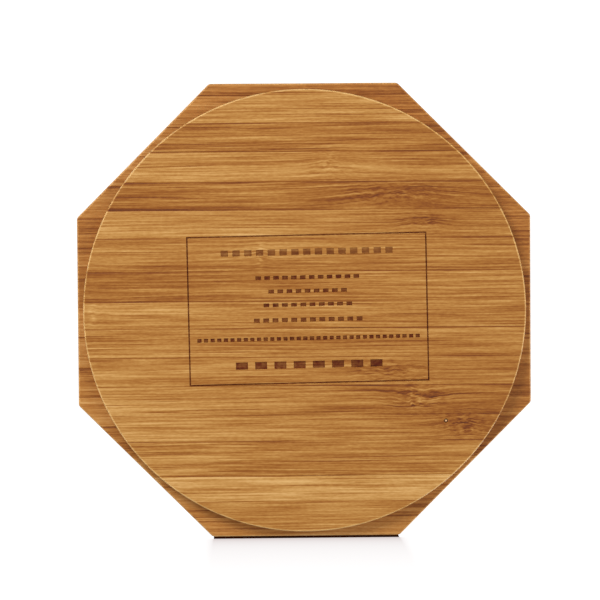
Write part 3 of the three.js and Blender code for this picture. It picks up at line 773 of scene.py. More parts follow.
def closed_cell_foam():
    bench, place, value, height = mottled_bench("closed-cell foam", 1.2)
    cell = bench.node("ShaderNodeTexVoronoi", {"Vector": place, "Scale": 3.5}).outputs["Distance"]
    # The cut cells are painted darker in their hollows, as shade.
    tone = bench.total(bench.times(cell, 0.5), bench.times(value, 0.5))
    color = bench.colors(tone, (0.2, 20, 20, 22), (0.8, 58, 58, 62))
    relief = bench.total(cell, bench.times(height, 0.4))
    return bench.finish(color, relief, 0.12, bench.between(value, 0.8, 0.95))


foam = add_piece(foam_mesh(), closed_cell_foam(), "coil_foam_pad")

# ---- Circuit board ----
# A routed glass-epoxy board with etched copper under green solder mask. The bare laminate shows at its cut
# edge, and small tinned holes join its two copper sides.

TRACE_CELL = 2.4
TRACES_PER_CELL = 4.0
LUCK_OF_A_HOLE = 0.82
MASK_SKIN = 0.05
board_low, board_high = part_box("circuit_board")


def printed_board():
    """The board is seen as square cells. Thin traces run through each along X or Y, as the cell's own random
    number says, and those with the highest numbers hold a tinned hole instead."""
    bench, place, value, height = mottled_bench("printed circuit board", 2.5)
    cells = bench.vector("DIVIDE", place, (TRACE_CELL, TRACE_CELL, 1e6))
    luck = bench.node("ShaderNodeTexWhiteNoise", {"Vector": bench.vector("FLOOR", cells)}).outputs["Value"]
    x, y, _ = bench.parts(bench.vector("FRACTION", cells))
    _, _, z = bench.parts(place)
    along_y = bench.math("GREATER_THAN", luck, 0.5)
    across = bench.total(bench.times(x, along_y), bench.times(y, bench.less(1.0, along_y)))
    lane = bench.math("FRACT", bench.times(across, TRACES_PER_CELL))
    trace = bench.step(bench.size(bench.less(lane, 0.5)), 0.2, 0.24, 1.0, 0.0)
    from_middle = bench.vector("LENGTH", bench.joined(bench.less(x, 0.5), bench.less(y, 0.5), 0.0))
    with_hole = bench.math("GREATER_THAN", luck, LUCK_OF_A_HOLE)
    ring = bench.times(bench.step(from_middle, 0.13, 0.15, 1.0, 0.0), with_hole)
    hole = bench.times(bench.step(from_middle, 0.06, 0.075, 1.0, 0.0), with_hole)
    green = bench.colors(value, (0.3, 10, 62, 34), (0.7, 18, 84, 48))
    green = bench.blend(bench.times(trace, 0.6), green, srgb(46, 122, 70))
    # The middle of a tinned hole is painted near black, as shade inside it.
    face = bench.blend(hole, bench.blend(ring, green, srgb(196, 198, 200)), srgb(14, 16, 14))
    weave = bench.noise(bench.scaled(place, 1.5, 1.5, 14.0), seed=6.0, detail=2.0)
    laminate = bench.colors(weave, (0.3, 142, 126, 74), (0.7, 186, 172, 118))
    middle_z = (board_low.z + board_high.z) / 2 / MM
    half = (board_high.z - board_low.z) / 2 / MM - MASK_SKIN
    on_face = bench.step(bench.size(bench.less(z, middle_z)), half, half + 0.02)
    relief = bench.total(bench.times(trace, 0.6), bench.times(height, 0.2), ring)
    color = bench.blend(on_face, laminate, face)
    tinned = bench.times(ring, on_face)
    return bench.finish(color, relief, 0.03, bench.between(value, 0.24, 0.38), metallic=tinned)


finish_nodes(printed_board(), "circuit_board")

# ---- Power socket ----
# A micro-USB receptacle: a sleeve folded from nickel-plated steel, with a flared mouth and four legs
# soldered to the board, a black plastic insert with a tongue, and five gold-flashed contacts under it.

SHELL_WIDTH, SHELL_HEIGHT, SHELL_DEPTH = 7.5, 2.5, 5.6
SHELL_WALL = 0.25
SHELL_CHAMFER = 0.8
SHELL_ROUND = 0.45
SHELL_FLARE, SHELL_FLARE_LENGTH = 0.12, 0.6
LEG_LENGTH = 1.1
LEG_REACH = 0.7
LEG_PLACES = (0.4, 0.8)
LEG_START_Z = 1.3
LEG_BEND = 0.3


def rounded_polygon(corners, radius, inset, steps=5):
    """A convex outline, anticlockwise, with round corners, moved inwards by inset. Each corner's arc keeps
    the centre it has on the outer outline, and turns from one side's outward normal to the next one's."""
    corners = np.array(corners)
    ahead = np.roll(corners, -1, axis=0) - corners
    ahead /= np.linalg.norm(ahead, axis=1)[:, None]
    outward = np.column_stack([ahead[:, 1], -ahead[:, 0]])
    before = np.roll(outward, 1, axis=0)
    both = before + outward
    centre = corners - radius * both / (1 + (before * outward).sum(1))[:, None]
    start = np.arctan2(before[:, 1], before[:, 0])
    turn = np.arctan2(outward[:, 1], outward[:, 0]) - start
    turn = np.mod(turn, 2 * math.pi)
    angles = start[:, None] + turn[:, None] * np.linspace(0, 1, steps + 1)[None, :]
    x = centre[:, :1] + (radius - inset) * np.cos(angles)
    z = centre[:, 1:] + (radius - inset) * np.sin(angles)
    return np.column_stack([x.ravel(), z.ravel()])


def shell_mesh(mouth_y, foot_z):
    """The sleeve's outline carried out along its outside, round its flared mouth and back along its inside,
    and four legs: a flat strip carried down from the side wall and round a bend to its foot."""
    half, top = SHELL_WIDTH / 2, SHELL_HEIGHT
    corners = [
        (half, SHELL_CHAMFER), (half, top), (-half, top), (-half, SHELL_CHAMFER),
        (SHELL_CHAMFER - half, 0.0), (half - SHELL_CHAMFER, 0.0),
    ]
    turns = np.linspace(0, math.pi / 2, 5)
    flare = [(-SHELL_FLARE * (1 - math.cos(t)), SHELL_FLARE_LENGTH * (math.sin(t) - 1)) for t in turns]
    outside = [(0.0, -SHELL_DEPTH), *flare]
    inside = [(inset + SHELL_WALL, y) for inset, y in reversed(outside)]
    rows = []
    for inset, y in [*outside, *inside, outside[0]]:
        ring = closed(rounded_polygon(corners, SHELL_ROUND, inset))
        rows.append(np.column_stack([ring[:, 0], np.full(len(ring), mouth_y + y), foot_z + ring[:, 1]]))
    sheets = [np.array(rows)]
    wall = half - SHELL_WALL / 2
    bend = np.linspace(0, math.pi / 2, 6)
    x = np.concatenate([[wall], wall + LEG_BEND * (1 - np.cos(bend)), [half + LEG_REACH]])
    z = np.concatenate([[LEG_START_Z], SHELL_WALL / 2 + LEG_BEND * (1 - np.sin(bend)), [SHELL_WALL / 2]])
    ahead = np.gradient(np.column_stack([x, z]), axis=0)
    ahead /= np.linalg.norm(ahead, axis=1)[:, None]
    corners = np.array([(1, -1), (1, 1), (-1, 1), (-1, -1), (1, -1)]) / 2
    off_x = x[:, None] - ahead[:, 1:] * corners[None, :, 0] * SHELL_WALL
    off_z = foot_z + z[:, None] + ahead[:, :1] * corners[None, :, 0] * SHELL_WALL
    for side in (-1, 1):
        for share in LEG_PLACES:
            along = mouth_y - SHELL_DEPTH * share + corners[None, :, 1] * LEG_LENGTH
            strip = np.stack([side * off_x, np.broadcast_to(along, off_x.shape), off_z], axis=-1)
            sheets += capped(strip)
    return woven_mesh("socket_sleeve", sheets)


def nickel_steel():
    bench, place, value, height = mottled_bench("nickel-plated steel", 1.5)
    drawn = bench.noise(bench.scaled(place, 9.0, 0.7, 9.0), seed=1.0, detail=3.0)
    tone = bench.total(bench.times(drawn, 0.6), bench.times(value, 0.4))
    color = bench.colors(tone, (0.3, 192, 191, 190), (0.7, 222, 220, 216))
    relief = bench.total(drawn, bench.times(height, 0.2))
    return bench.finish(color, relief, 0.002, bench.between(drawn, 0.2, 0.36), metallic=1.0)


def moulded_black():
    """Black glass-filled plastic, with its filler as fine specks."""
    bench, _, value, height = mottled_bench("socket plastic", 0.9)
    color = bench.colors(value, (0.25, 18, 18, 20), (0.8, 44, 44, 47))
    return bench.finish(color, height, 0.01, bench.between(value, 0.42, 0.6))


def gold_flash():
    bench, place, value, height = mottled_bench("gold-flashed contact", 0.5)
    rubbed = bench.noise(bench.scaled(place, 10.0, 1.2, 10.0), seed=8.0, detail=2.0)
    tone = bench.total(bench.times(rubbed, 0.6), bench.times(value, 0.4))
    color = bench.colors(tone, (0.3, 198, 152, 72), (0.7, 236, 198, 118))
    return bench.finish(color, height, 0.006, bench.between(rubbed, 0.18, 0.34), metallic=1.0)


socket_mouth_y = socket_high.y / MM
add_piece(shell_mesh(socket_mouth_y, socket_low.z / MM), nickel_steel(), "usb_shell")
finish_nodes(moulded_black(), "usb_insert")
finish_nodes(gold_flash(), *(f"usb_contact_{number}" for number in range(1, 6)))

# ---- Chips ----
# Black epoxy packages with tinned leads: a square controller with pads along its four sides, and two power
# chips with four flat leads a side. A small moulded dimple marks the first lead.

CONTROLLER_HALF = 2.5
POWER_CHIP_LENGTH, POWER_CHIP_HALF_WIDTH = 4.9, 1.95
DIMPLE_INSET = 0.8
DIMPLE_RADIUS = 0.28


def chip_place(bench, node):
    """The place in mm from the middle of a chip's foot, with X along its length. A chip stands with its
    length along the board's rim, so the direction to the chip, less a quarter turn, is how far it is
    turned."""
    low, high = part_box(node)
    middle = (low + high) / 2
    turn = math.atan2(middle.y, middle.x) - math.pi / 2
    inputs = {
        "Vector": bench.node("ShaderNodeTexCoord").outputs["Object"],
        "Location": (middle.x, middle.y, low.z), "Rotation": (0, 0, turn), "Scale": (MM, MM, MM),
    }
    return bench.node("ShaderNodeMapping", inputs, vector_type="TEXTURE").outputs[0]


def epoxy_package(node, half_length, half_width):
    """Epoxy within the package's sides, tin beyond them, and a dimple near one upper corner."""
    bench = MaterialBench(f"epoxy {node}")
    place = chip_place(bench, node)
    value, height = mottled(bench, place, 0.8)
    x, y, z = bench.parts(place)
    past_end = bench.less(bench.size(x), half_length)
    past_side = bench.less(bench.size(y), half_width)
    tinned = bench.step(bench.math("MAXIMUM", past_end, past_side), 0.008, 0.014)
    dimple_x, dimple_y = DIMPLE_INSET - half_length, DIMPLE_INSET - half_width
    away = bench.vector("LENGTH", bench.joined(bench.less(x, dimple_x), bench.less(y, dimple_y), 0.0))
    dimple = bench.step(away, DIMPLE_RADIUS - 0.06, DIMPLE_RADIUS, 1.0, 0.0)
    epoxy = bench.colors(value, (0.25, 24, 24, 26), (0.8, 56, 56, 60))
    # The dimple is painted darker, as shade in its hollow.
    epoxy = bench.blend(bench.times(dimple, 0.5), epoxy, srgb(12, 12, 13))
    tin = bench.colors(value, (0.3, 160, 161, 165), (0.7, 204, 205, 208))
    color = bench.blend(tinned, epoxy, tin)
    relief = bench.less(bench.times(height, 0.3), dimple)
    return bench.finish(color, relief, 0.04, bench.step(tinned, 0.0, 1.0, 0.55, 0.3), metallic=tinned)


finish_nodes(epoxy_package("controller_chip", CONTROLLER_HALF, CONTROLLER_HALF), "controller_chip")
for number in (1, 2):
    power_chip = f"power_chip_{number}"
    finish_nodes(epoxy_package(power_chip, POWER_CHIP_LENGTH / 2, POWER_CHIP_HALF_WIDTH), power_chip)

# ---- Capacitors and resistors ----
# Two-ended chips with a tinned cap over each end. The capacitors are blocks of tan layered ceramic; the
# resistors are white alumina with a black film fired on top.

CAP_SHARE = 0.2
CAPACITOR_COUNTS = {"resonance_capacitor": 4, "input_capacitor": 2}
CAPACITOR_LENGTH = 3.2
RESISTOR_COUNT, RESISTOR_LENGTH, RESISTOR_HEIGHT = 4, 1.6, 0.45
FILM_SKIN = 0.09
CERAMIC_LAYERS_PER_MM = 6.0


def end_capped(node, length, middle_color):
    """A chip whose middle is coloured by middle_color(bench, value, z), with mottled tin over each end."""
    bench = MaterialBench(f"end-capped {node}")
    place = chip_place(bench, node)
    value, height = mottled(bench, place, 0.7)
    x, _, z = bench.parts(place)
    wavy = bench.swing(bench.noise(bench.scaled(place, 2.5, 2.5, 2.5), detail=1.0), 0.12)
    from_middle = bench.total(bench.size(x), wavy)
    cap_start = length * (0.5 - CAP_SHARE)
    tinned = bench.step(from_middle, cap_start - 0.02, cap_start)
    tin = bench.colors(value, (0.3, 150, 150, 152), (0.7, 206, 206, 206))
    color = bench.blend(tinned, middle_color(bench, value, z), tin)
    return bench.finish(color, height, 0.015, bench.between(value, 0.3, 0.5), metallic=tinned)


def tan_ceramic(bench, value, z):
    layers = bench.swing(bench.math("FRACT", bench.times(z, CERAMIC_LAYERS_PER_MM)), 0.25)
    return bench.colors(bench.total(value, layers), (0.2, 128, 96, 62), (0.8, 182, 148, 104))


def film_on_alumina(bench, value, z):
    white = bench.colors(value, (0.3, 212, 210, 204), (0.7, 236, 235, 230))
    film = bench.colors(value, (0.3, 16, 16, 18), (0.8, 42, 42, 46))
    film_z = RESISTOR_HEIGHT - FILM_SKIN
    return bench.blend(bench.step(z, film_z - 0.01, film_z + 0.01), white, film)


for kind, count in CAPACITOR_COUNTS.items():
    for number in range(1, count + 1):
        capacitor = f"{kind}_{number}"
        finish_nodes(end_capped(capacitor, CAPACITOR_LENGTH, tan_ceramic), capacitor)
for number in range(1, RESISTOR_COUNT + 1):
    resistor = f"chip_resistor_{number}"
    finish_nodes(end_capped(resistor, RESISTOR_LENGTH, film_on_alumina), resistor)

# ---- Indicator light and its guide ----
# A surface-mounted light under the board: a cloudy resin lens on a small base. A rod of frosted acrylic
# stands in the base plate's hole below it, and its domed end shows as a pale dot.

GUIDE_DOME = 0.06
LED_BASE_HEIGHT = 0.25
light_low, light_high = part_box("light_guide")
LIGHT_PLACE = ((light_low + light_high) / 2 / MM).to_2d()
led_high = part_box("indicator_led")[1]


def guide_mesh(sides=40):
    """A rod with a domed lower end, as a profile of (radius, z) turned about its axis."""
    radius = (light_high.x - light_low.x) / 2 / MM
    low, high = light_low.z / MM, light_high.z / MM
    turns = np.linspace(0.05, 1, 6) * math.pi / 2
    profile = [(radius * math.sin(t), low + GUIDE_DOME * (1 - math.sin(t))) for t in turns[::-1]]
    profile = [(radius, low + GUIDE_DOME + 0.02), *profile[1:]]
    reach = np.array([(radius, high), *profile])
    angles = np.linspace(0, 2 * math.pi, sides + 1)
    x = LIGHT_PLACE[0] + reach[:, :1] * np.cos(angles)
    y = LIGHT_PLACE[1] + reach[:, :1] * np.sin(angles)
    sheet = np.stack([x, y, np.broadcast_to(reach[:, 1:], x.shape)], axis=-1)
    return woven_mesh("light_guide_rod", capped(sheet))


def frosted_acrylic():
    bench, _, value, height = mottled_bench("frosted acrylic", 0.3)
    color = bench.colors(value, (0.3, 236, 178, 122), (0.7, 250, 204, 154))
    bench.shader.inputs["Transmission Weight"].default_value = 0.2
    bench.shader.inputs["IOR"].default_value = 1.49
    return bench.finish(color, height, 0.01, bench.between(value, 0.35, 0.55))


def cloudy_lens():
    """Pale resin on a white base: the base is the uppermost part, which is soldered up to the board."""
    bench, place, value, height = mottled_bench("light lens and base", 0.5)
    z = bench.parts(place)[2]
    resin = bench.colors(value, (0.3, 226, 216, 160), (0.7, 242, 236, 200))
    white = bench.colors(value, (0.3, 222, 222, 218), (0.7, 240, 240, 236))
    base_z = led_high.z / MM - LED_BASE_HEIGHT
    color = bench.blend(bench.step(z, base_z - 0.01, base_z + 0.01), resin, white)
    return bench.finish(color, height, 0.01, bench.between(value, 0.2, 0.4))


add_piece(guide_mesh(), frosted_acrylic(), "light_guide")
finish_nodes(cloudy_lens(), "indicator_led")

# ---- Base glue ring ----
# A thin ring of wood glue between the body and the base plate, squeezed out unevenly as the two are
# pressed together, with small bubbles in it.


def wood_glue():
    bench, place, value, height = mottled_bench("wood glue", 2.0)
    bubble = bench.node("ShaderNodeTexVoronoi", {"Vector": place, "Scale": 1.4}).outputs["Distance"]
    bubble = bench.step(bubble, 0.12, 0.18, 1.0, 0.0)
    color = bench.colors(value, (0.3, 150, 112, 62), (0.7, 196, 162, 104))
    color = bench.blend(bench.times(bubble, 0.5), color, srgb(224, 200, 150))
    return bench.finish(color, bench.less(height, bubble), 0.02, bench.between(value, 0.3, 0.55))


finish_nodes(wood_glue(), "base_glue_ring")

# ---- Round base plate ----
# A bamboo disc 2.9 mm thick, turned with a small round on its rim, engraved on the underside by a laser
# with a frame and rows of plain bars, drilled for the indicator light, and glued over the pocket.

PLATE_RADIUS = 43.8
PLATE_THICKNESS = 2.9
PLATE_EDGE_ROUND = 0.3
ENGRAVING_DEPTH = 0.15
ENGRAVING_WALL = 0.05
ENGRAVING_TURN = 0.9
ENGRAVING_RIGHT, ENGRAVING_UP = 0.6, 0.4
FRAME_WIDTH, FRAME_HEIGHT, FRAME_LINE = 47.45, 29.5, 0.25
BAR_FILL = 0.62
# Each row of bars: its height above the frame's middle, its width, how many bars, how tall they are, and
# how deep the laser has cut them.
BAR_ROWS = [
    (11.3, 34.0, 15, 1.2, 0.09),
    (6.3, 20.5, 12, 0.7, 0.13),
    (3.6, 15.5, 9, 0.7, 0.12),
    (0.9, 17.5, 10, 0.7, 0.15),
    (-2.1, 21.5, 12, 0.8, 0.11),
    (-5.8, 44.0, 34, 0.7, 0.15),
    (-11.0, 29.0, 8, 1.4, 0.13),
]
SHEET_HALF_WIDTH, SHEET_HALF_HEIGHT = 29.9, 25.6
LIGHT_HOLE_RADIUS = 0.38
LIGHT_POCKET_RADIUS = 2.5
LIGHT_POCKET_DEPTH = 1.2
LIGHT_BLOCK = 2.7
WIDEST_GAP = 1.2


def engraved_boxes():
    """Every engraved rectangle as (left, right, low, high, depth), in the frame of the engraving."""
    half_width, half_height = FRAME_WIDTH / 2, FRAME_HEIGHT / 2
    lines = [
        (-half_width, half_width, half_height - FRAME_LINE, half_height),
        (-half_width, half_width, -half_height, -half_height + FRAME_LINE),
        (-half_width, -half_width + FRAME_LINE, -half_height, half_height),
        (half_width - FRAME_LINE, half_width, -half_height, half_height),
    ]
    boxes = [(*line, ENGRAVING_DEPTH) for line in lines]
    for up, width, count, height, depth in BAR_ROWS:
        pitch = width / (count - 1 + BAR_FILL)
        for bar in range(count):
            middle = (bar - (count - 1) / 2) * pitch
            half = pitch * BAR_FILL / 2
            boxes.append((middle - half, middle + half, up - height / 2, up + height / 2, depth))
    return np.array(boxes)


def to_plate(right, up):
    """From the engraving's frame, seen from below, to the plate's XY."""
    turn = math.radians(-ENGRAVING_TURN)
    x = -right * math.cos(turn) - up * math.sin(turn) - ENGRAVING_RIGHT
    y = -right * math.sin(turn) + up * math.cos(turn) + ENGRAVING_UP
    return x, y


def from_plate(x, y):
    """The way back: from the plate's XY to the engraving's frame."""
    turn = math.radians(ENGRAVING_TURN)
    x, y = x + ENGRAVING_RIGHT, y - ENGRAVING_UP
    return -(x * math.cos(turn) - y * math.sin(turn)), x * math.sin(turn) + y * math.cos(turn)


def grid_lines(edges, half_span, block_middle):
    """Sorted grid lines across the sheet: a pair at the top and the foot of each engraved wall, the block
    round the light, and as many more as keep gaps under the widest."""
    half_wall = ENGRAVING_WALL / 2
    block = block_middle + np.linspace(-LIGHT_BLOCK, LIGHT_BLOCK, 7)
    lines = np.concatenate([edges - half_wall, edges + half_wall, block, [-half_span, half_span]])
    lines = np.unique(np.round(lines, 3))
    filled = [
        np.linspace(low, high, int(math.ceil((high - low) / WIDEST_GAP)), endpoint=False)
        for low, high in zip(lines[:-1], lines[1:])
    ]
    return np.concatenate([*filled, lines[-1:]])


def block_rim(rows, columns):
    """The order in which a block's border points are met, anticlockwise in rows and columns."""
    low, high, left, right = rows[0], rows[-1], columns[0], columns[-1]
    along = [(low, column) for column in range(left, right)]
    up = [(row, right) for row in range(low, high)]
    back = [(high, column) for column in range(right, left, -1)]
    down = [(row, left) for row in range(high, low, -1)]
    return np.array([*along, *up, *back, *down, (low, left)])


def spread_to_circle(ring, centre, radius):
    """Each point of a ring moved straight away from, or towards, a centre until it is on the circle."""
    away = ring[:, :2] - np.array(centre)
    return np.array(centre) + radius * away / np.linalg.norm(away, axis=1)[:, None]


def rings_at(xy, centre, profile):
    """A ring of directions from a centre, carried through a profile of (radius, z)."""
    return [at_height(spread_to_circle(xy, centre, radius), z) for radius, z in profile]


def base_plate_mesh():
    """The underside is a grid whose lines run along every engraved edge, its height 0 or the depth engraved
    there. Its border is spread to the round rim, and the block round the light to the hole."""
    boxes = engraved_boxes()
    light_right, light_up = from_plate(*LIGHT_PLACE)
    across = grid_lines(boxes[:, :2].ravel(), SHEET_HALF_WIDTH, light_right)
    upward = grid_lines(boxes[:, 2:4].ravel(), SHEET_HALF_HEIGHT, light_up)
    right, up = np.meshgrid(across, upward)
    hair = ENGRAVING_WALL / 4
    height = np.zeros(right.shape)
    for left, far, low, high, depth in boxes:
        cut = (right > left + hair) & (right < far - hair) & (up > low + hair) & (up < high - hair)
        height[cut] = depth
    x, y = to_plate(right, up)
    under = np.stack([x, y, height], axis=-1)
    over = np.stack([x, y, np.full(x.shape, PLATE_THICKNESS)], axis=-1)
    in_columns = np.flatnonzero(abs(across - light_right) < LIGHT_BLOCK + 0.001)
    in_rows = np.flatnonzero(abs(upward - light_up) < LIGHT_BLOCK + 0.001)
    whole = np.ones((len(upward) - 1, len(across) - 1), bool)
    whole[in_rows[0]:in_rows[-1], in_columns[0]:in_columns[-1]] = False
    hole = block_rim(in_rows, in_columns)
    border = block_rim([0, len(upward) - 1], [0, len(across) - 1])
    pocket_floor = PLATE_THICKNESS - LIGHT_POCKET_DEPTH
    hole_profile = [
        (LIGHT_HOLE_RADIUS + 0.04, 0.0), (LIGHT_HOLE_RADIUS, 0.04), (LIGHT_HOLE_RADIUS, pocket_floor),
        (LIGHT_POCKET_RADIUS, pocket_floor), (LIGHT_POCKET_RADIUS, PLATE_THICKNESS),
    ]
    hole_under = under[hole[:, 0], hole[:, 1]]
    hole_over = over[hole[:, 0], hole[:, 1]]
    hole_sheet = [hole_under, *rings_at(hole_under, LIGHT_PLACE, hole_profile), hole_over]
    low_round = quarter_round(PLATE_RADIUS - PLATE_EDGE_ROUND, PLATE_EDGE_ROUND, PLATE_EDGE_ROUND, -1)
    top_round = quarter_round(PLATE_RADIUS - 0.1, PLATE_THICKNESS - 0.1, 0.1, 0, steps=2)
    border_under = under[border[:, 0], border[:, 1]]
    border_over = over[border[:, 0], border[:, 1]]
    rim = rings_at(border_under, (0.0, 0.0), [*low_round, *top_round])
    rim_sheet = [border_under, *rim, border_over]
    faces = [(under, whole), (over, whole)]
    return woven_mesh("round_base_plate", [*faces, np.array(hole_sheet), np.array(rim_sheet)])


BURNT_TINT = (0.24, 0.07, 0.0, 1.0)
BURNT_ROUGHNESS = 0.9
ENGRAVED_REACH = 42.0
LASER_LINES_PER_MM = 5.0
PLATE_TONES = [
    (0.10, 78, 30, 4),
    (0.29, 125, 62, 6),
    (0.385, 149, 87, 20),
    (0.475, 170, 111, 43),
    (0.535, 183, 127, 58),
    (0.59, 195, 142, 73),
    (0.65, 208, 157, 89),
    (0.74, 222, 176, 110),
]
# The plate's strips from the -Y side up: width in mm, tone, fibre density, and fade towards +X.
PLATE_STRIPS = [
    (6.3, 0.518, 0.15, 0.05),
    (5.0, 0.619, 0.65, 0.02),
    (7.0, 0.531, 0.70, 0.02),
    (5.1, 0.513, 0.30, 0.065),
    (5.8, 0.512, 0.45, 0.074),
    (5.7, 0.500, 0.35, 0.02),
    (5.7, 0.488, 0.40, 0.03),
    (5.4, 0.499, 0.35, 0.04),
    (5.9, 0.461, 0.40, -0.04),
    (6.6, 0.495, 0.35, 0.02),
    (5.55, 0.508, 0.50, 0.04),
    (5.45, 0.436, 0.70, 0.01),
    (6.0, 0.498, 0.15, 0.025),
    (5.65, 0.471, 0.95, 0.02),
    (6.0, 0.548, 0.30, -0.04),
    (5.0, 0.530, 0.40, 0.0),
]
PLATE_FIRST_EDGE = -44.0
# Stalk joints: centre, half length and half width in mm, then lift in mm, pale and dark strength.
PLATE_JOINTS = [
    ((-5.3, 28.9), (5.0, 2.6), 0.5, 0.07, 0.03),
    ((-19.0, 23.0), (12.0, 2.2), 1.6, 0.04, 0.08),
    ((-24.0, 17.5), (5.0, 1.6), 0.7, 0.03, 0.08),
    ((8.7, 11.3), (1.8, 2.4), 0.3, 0.12, 0.04),
    ((42.0, -0.5), (2.4, 2.2), 0.4, 0.10, 0.0),
    ((-16.0, -11.8), (8.0, 2.0), 0.3, 0.0, 0.09),
    ((-22.5, -17.3), (6.5, 2.6), -0.7, 0.07, 0.10),
    ((-21.0, -17.5), (0.9, 2.2), 0.0, 0.09, 0.0),
    ((-31.5, -22.6), (5.5, 2.5), 0.9, 0.05, 0.13),
    ((26.7, -35.4), (1.6, 0.8), 0.5, 0.04, 0.0),
]


def plate_bamboo():
    bench = MaterialBench("base plate bamboo")
    place = bench.object_place()
    tone, height = bamboo_tone(bench, place, PLATE_STRIPS, PLATE_FIRST_EDGE, PLATE_JOINTS, seed=7.0)
    x, y, z = bench.parts(place)
    radius = bench.vector("LENGTH", bench.joined(x, y, 0.0))
    # The pale rim of the plate is partly sanding wear and partly a painted highlight.
    worn_and_highlight = pale_edge_and_highlight(bench, place, bench.less(PLATE_RADIUS, radius), z)
    wood = bench.colors(bench.total(tone, bench.times(worn_and_highlight, 0.22)), *PLATE_TONES)
    inside = bench.step(radius, ENGRAVED_REACH, ENGRAVED_REACH + 0.5, 1.0, 0.0)
    shallow = bench.step(z, 0.20, 0.16)
    burnt = bench.times(bench.step(z, 0.02, 0.13), shallow, inside)
    cloud = bench.noise(bench.scaled(place, 1.1, 1.1, 0.0), seed=3.0, detail=3.0)
    scorch = bench.step(cloud, 0.35, 0.65, 0.78, 1.0)
    pass_lines = bench.math("SINE", bench.times(y, LASER_LINES_PER_MM * 2 * math.pi))
    relief = bench.total(height, bench.times(pass_lines, burnt, 0.25))
    color = bench.blend(bench.times(burnt, scorch), wood, BURNT_TINT, mode="MULTIPLY")
    rough = bench.step(burnt, 0.0, 1.0, BAMBOO_ROUGHNESS, BURNT_ROUGHNESS)
    return bench.finish(color, relief, GRAIN_DEPTH, rough, specular=OIL_GLOSS)


add_piece(base_plate_mesh(), plate_bamboo(), "bamboo_base_plate")

# ---- Studio ----
# A white sweep with soft light. The pad lies on one floor, and the camera sees it from below, in front of a
# second floor on which it would stand on its lower flat. Round the pad both floors carry a painted shadow.

VIEW_YAW, VIEW_PITCH, VIEW_ROLL = 1.32, 2.62, 0.41
VIEW_PLACE = (-0.986, 2.178, 600.0)
VIEW_LENS = 182.14
SENSOR_WIDTH = 36.0
NEAREST, FARTHEST = 10, 10000
WHITE_AS_LIGHT, WHITER_TO_CAMERA = 0.42, 0.7


def studio_camera():
    turn = (
        Matrix.Rotation(math.pi, 4, "Y")
        @ Matrix.Rotation(math.radians(-VIEW_YAW), 4, "Y")
        @ Matrix.Rotation(math.radians(-VIEW_PITCH), 4, "X")
        @ Matrix.Rotation(math.radians(-VIEW_ROLL), 4, "Z")
    )
    camera = put_in_scene("camera", bpy.data.cameras.new("camera"))
    camera.data.lens = VIEW_LENS
    camera.data.sensor_width = SENSOR_WIDTH
    camera.data.clip_start = mm(NEAREST)
    camera.data.clip_end = mm(FARTHEST)
    camera.matrix_world = Matrix.Translation(turn @ (Vector(VIEW_PLACE) * MM)) @ turn
    bpy.context.scene.camera = camera


def soft_light(name, place, size, power):
    """A square white light panel aimed at the middle of the pad."""
    panel = bpy.data.lights.new(name, "AREA")
    panel.shape = "SQUARE"
    panel.size = mm(size)
    panel.energy = power
    lamp = put_in_scene(name, panel)
    where = Vector(place) * MM
    lamp.location = where
    lamp.rotation_euler = where.to_track_quat("Z", "Y").to_euler()
    lamp.visible_camera = False


def white_world():
    """Pure white where the camera looks, and a softer white as light."""
    world = bpy.data.worlds.new("studio")
    bpy.context.scene.world = world
    world.use_nodes = True
    bench = Workbench(world.node_tree)
    background = world.node_tree.nodes["Background"]
    seen = bench.node("ShaderNodeLightPath").outputs["Is Camera Ray"]
    strength = bench.total(WHITE_AS_LIGHT, bench.times(seen, WHITER_TO_CAMERA))
    bench.put(strength, background.inputs["Strength"])
    background.inputs["Color"].default_value = (1, 1, 1, 1)


def box_distance(bench, place, half_size, stretch):
    """The distance in mm from a place to a box round the origin: the length of what each coordinate, made
    positive, has more than the box's half size. Stretch makes the distance grow faster along an axis."""
    beyond = bench.vector("SUBTRACT", bench.vector("ABSOLUTE", place), half_size)
    beyond = bench.vector("MULTIPLY", bench.vector("MAXIMUM", beyond, (0.0, 0.0, 0.0)), stretch)
    return bench.vector("LENGTH", beyond)


# Fades and colours of the painted shadows on the floors.
CONTACT_FADE, WIDE_FADE = 5.0, 50.0
FLOOR_SHADE = (0.20, 0.03, 0.01)
DEEP_SHADE = (0.02, 0.004, 0.001)


def floor_paint(
    name, shade_box, contact, glow, wide_shade=0.0, stretch=(1.0, 1.0, 1.0), paint=0.0,
    shade_color=FLOOR_SHADE, rounded=0.0,
):
    """A glowing white paint with a soft painted shadow round the box the pad touches: contact is how dark the
    painted shadow is at the pad, and fades within a few mm, while wide_shade fades within some cm. paint is
    how much of the lights' own light and shade it takes, and rounded widens the box by a radius. The back is
    clear, so that a floor never hides the pad."""
    bench = MaterialBench(name)
    shader = bench.shader
    away = box_distance(bench, bench.object_place(), shade_box, stretch)
    away = bench.math("MAXIMUM", bench.less(away, rounded), 0.0)
    close = bench.math("EXPONENT", bench.times(away, -1 / CONTACT_FADE))
    wide = bench.math("EXPONENT", bench.times(away, -1 / WIDE_FADE))
    shade = bench.total(bench.times(close, contact), bench.times(wide, wide_shade))
    white = (glow, glow, glow, 1.0)
    bench.put(bench.blend(shade, white, (*shade_color, 1.0)), shader.inputs["Emission Color"])
    shader.inputs["Base Color"].default_value = (paint, paint, paint, 1)
    shader.inputs["Roughness"].default_value = 0.9
    shader.inputs["Specular IOR Level"].default_value = 0.0
    shader.inputs["Emission Strength"].default_value = 1.0
    clear = bench.node("ShaderNodeBsdfTransparent").outputs[0]
    back = bench.node("ShaderNodeNewGeometry").outputs["Backfacing"]
    mixed = bench.node("ShaderNodeMixShader", {0: back, 1: shader.outputs[0], 2: clear}).outputs[0]
    bench.put(mixed, bench.tree.nodes["Material Output"].inputs["Surface"])
    return bench.material


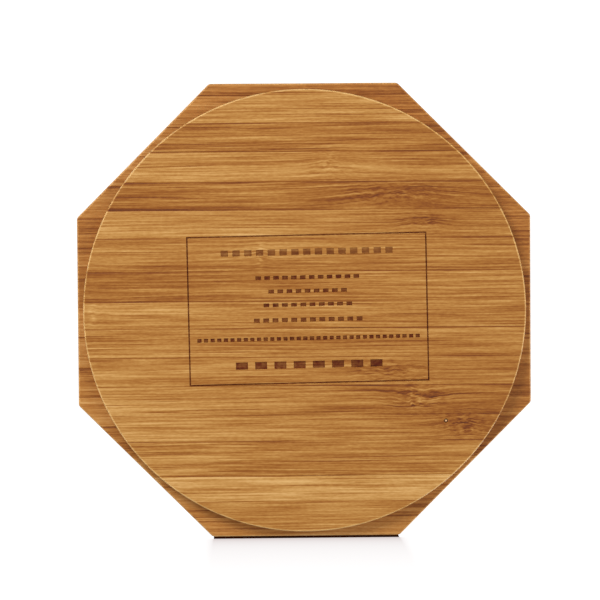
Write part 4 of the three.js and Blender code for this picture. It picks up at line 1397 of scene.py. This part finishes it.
def floor_piece(name, corners, shade_box, **finish):
    mesh = bpy.data.meshes.new(name)
    mesh.from_pydata([tuple(c * MM for c in corner) for corner in corners], [], [(0, 1, 2, 3)])
    floor = put_in_scene(name, mesh)
    floor.data.materials.append(floor_paint(name, shade_box, **finish))
    floor.visible_shadow = False
    floor.visible_diffuse = False
    floor.visible_glossy = False


studio_camera()
white_world()
soft_light("key", (260, 330, -420), 260, 2.2)
soft_light("fill", (-380, -60, -440), 380, 1.0)
soft_light("low right", (-420, -90, -26), 120, 0.45)
soft_light("low left", (420, -190, -26), 120, 0.25)
soft_light("top left", (-360, -260, 420), 300, 2.2)
soft_light("top right", (380, 200, 460), 380, 1.6)
REACH = 4000
STANDING_REACH = 170
STANDING_Y = -ACROSS_FLATS / 2 - 0.05
FLAT_HALF_LENGTH = 18.4
LYING_Z = -0.01
floor_piece(
    "lying_floor",
    [(x * REACH, y * REACH, LYING_Z) for x, y in ((-1, -1), (1, -1), (1, 1), (-1, 1))],
    (0.0, 0.0, 1.0), contact=0.25, wide_shade=0.15, glow=0.78, paint=0.4, rounded=PLATE_RADIUS - 1.0,
)
floor_piece(
    "standing_floor",
    [
        (STANDING_REACH, STANDING_Y, 0), (STANDING_REACH, STANDING_Y, -STANDING_REACH),
        (-STANDING_REACH, STANDING_Y, -STANDING_REACH), (-STANDING_REACH, STANDING_Y, 0),
    ],
    (FLAT_HALF_LENGTH, 50.0, 1.0), contact=0.2, wide_shade=0.22, glow=1.1, stretch=(28.0, 1.0, 1.0),
)
# A dark sheet of painted shade under the lower flat, where it would touch the second floor.
floor_piece(
    "standing_shade",
    [
        (FLAT_HALF_LENGTH, STANDING_Y, BODY_TOP), (FLAT_HALF_LENGTH, STANDING_Y, 0),
        (-FLAT_HALF_LENGTH, STANDING_Y, 0), (-FLAT_HALF_LENGTH, STANDING_Y, BODY_TOP),
    ],
    (FLAT_HALF_LENGTH, 50.0, 20.0), contact=1.0, glow=0.03, shade_color=DEEP_SHADE,
)
bpy.context.scene.view_settings.view_transform = "Standard"
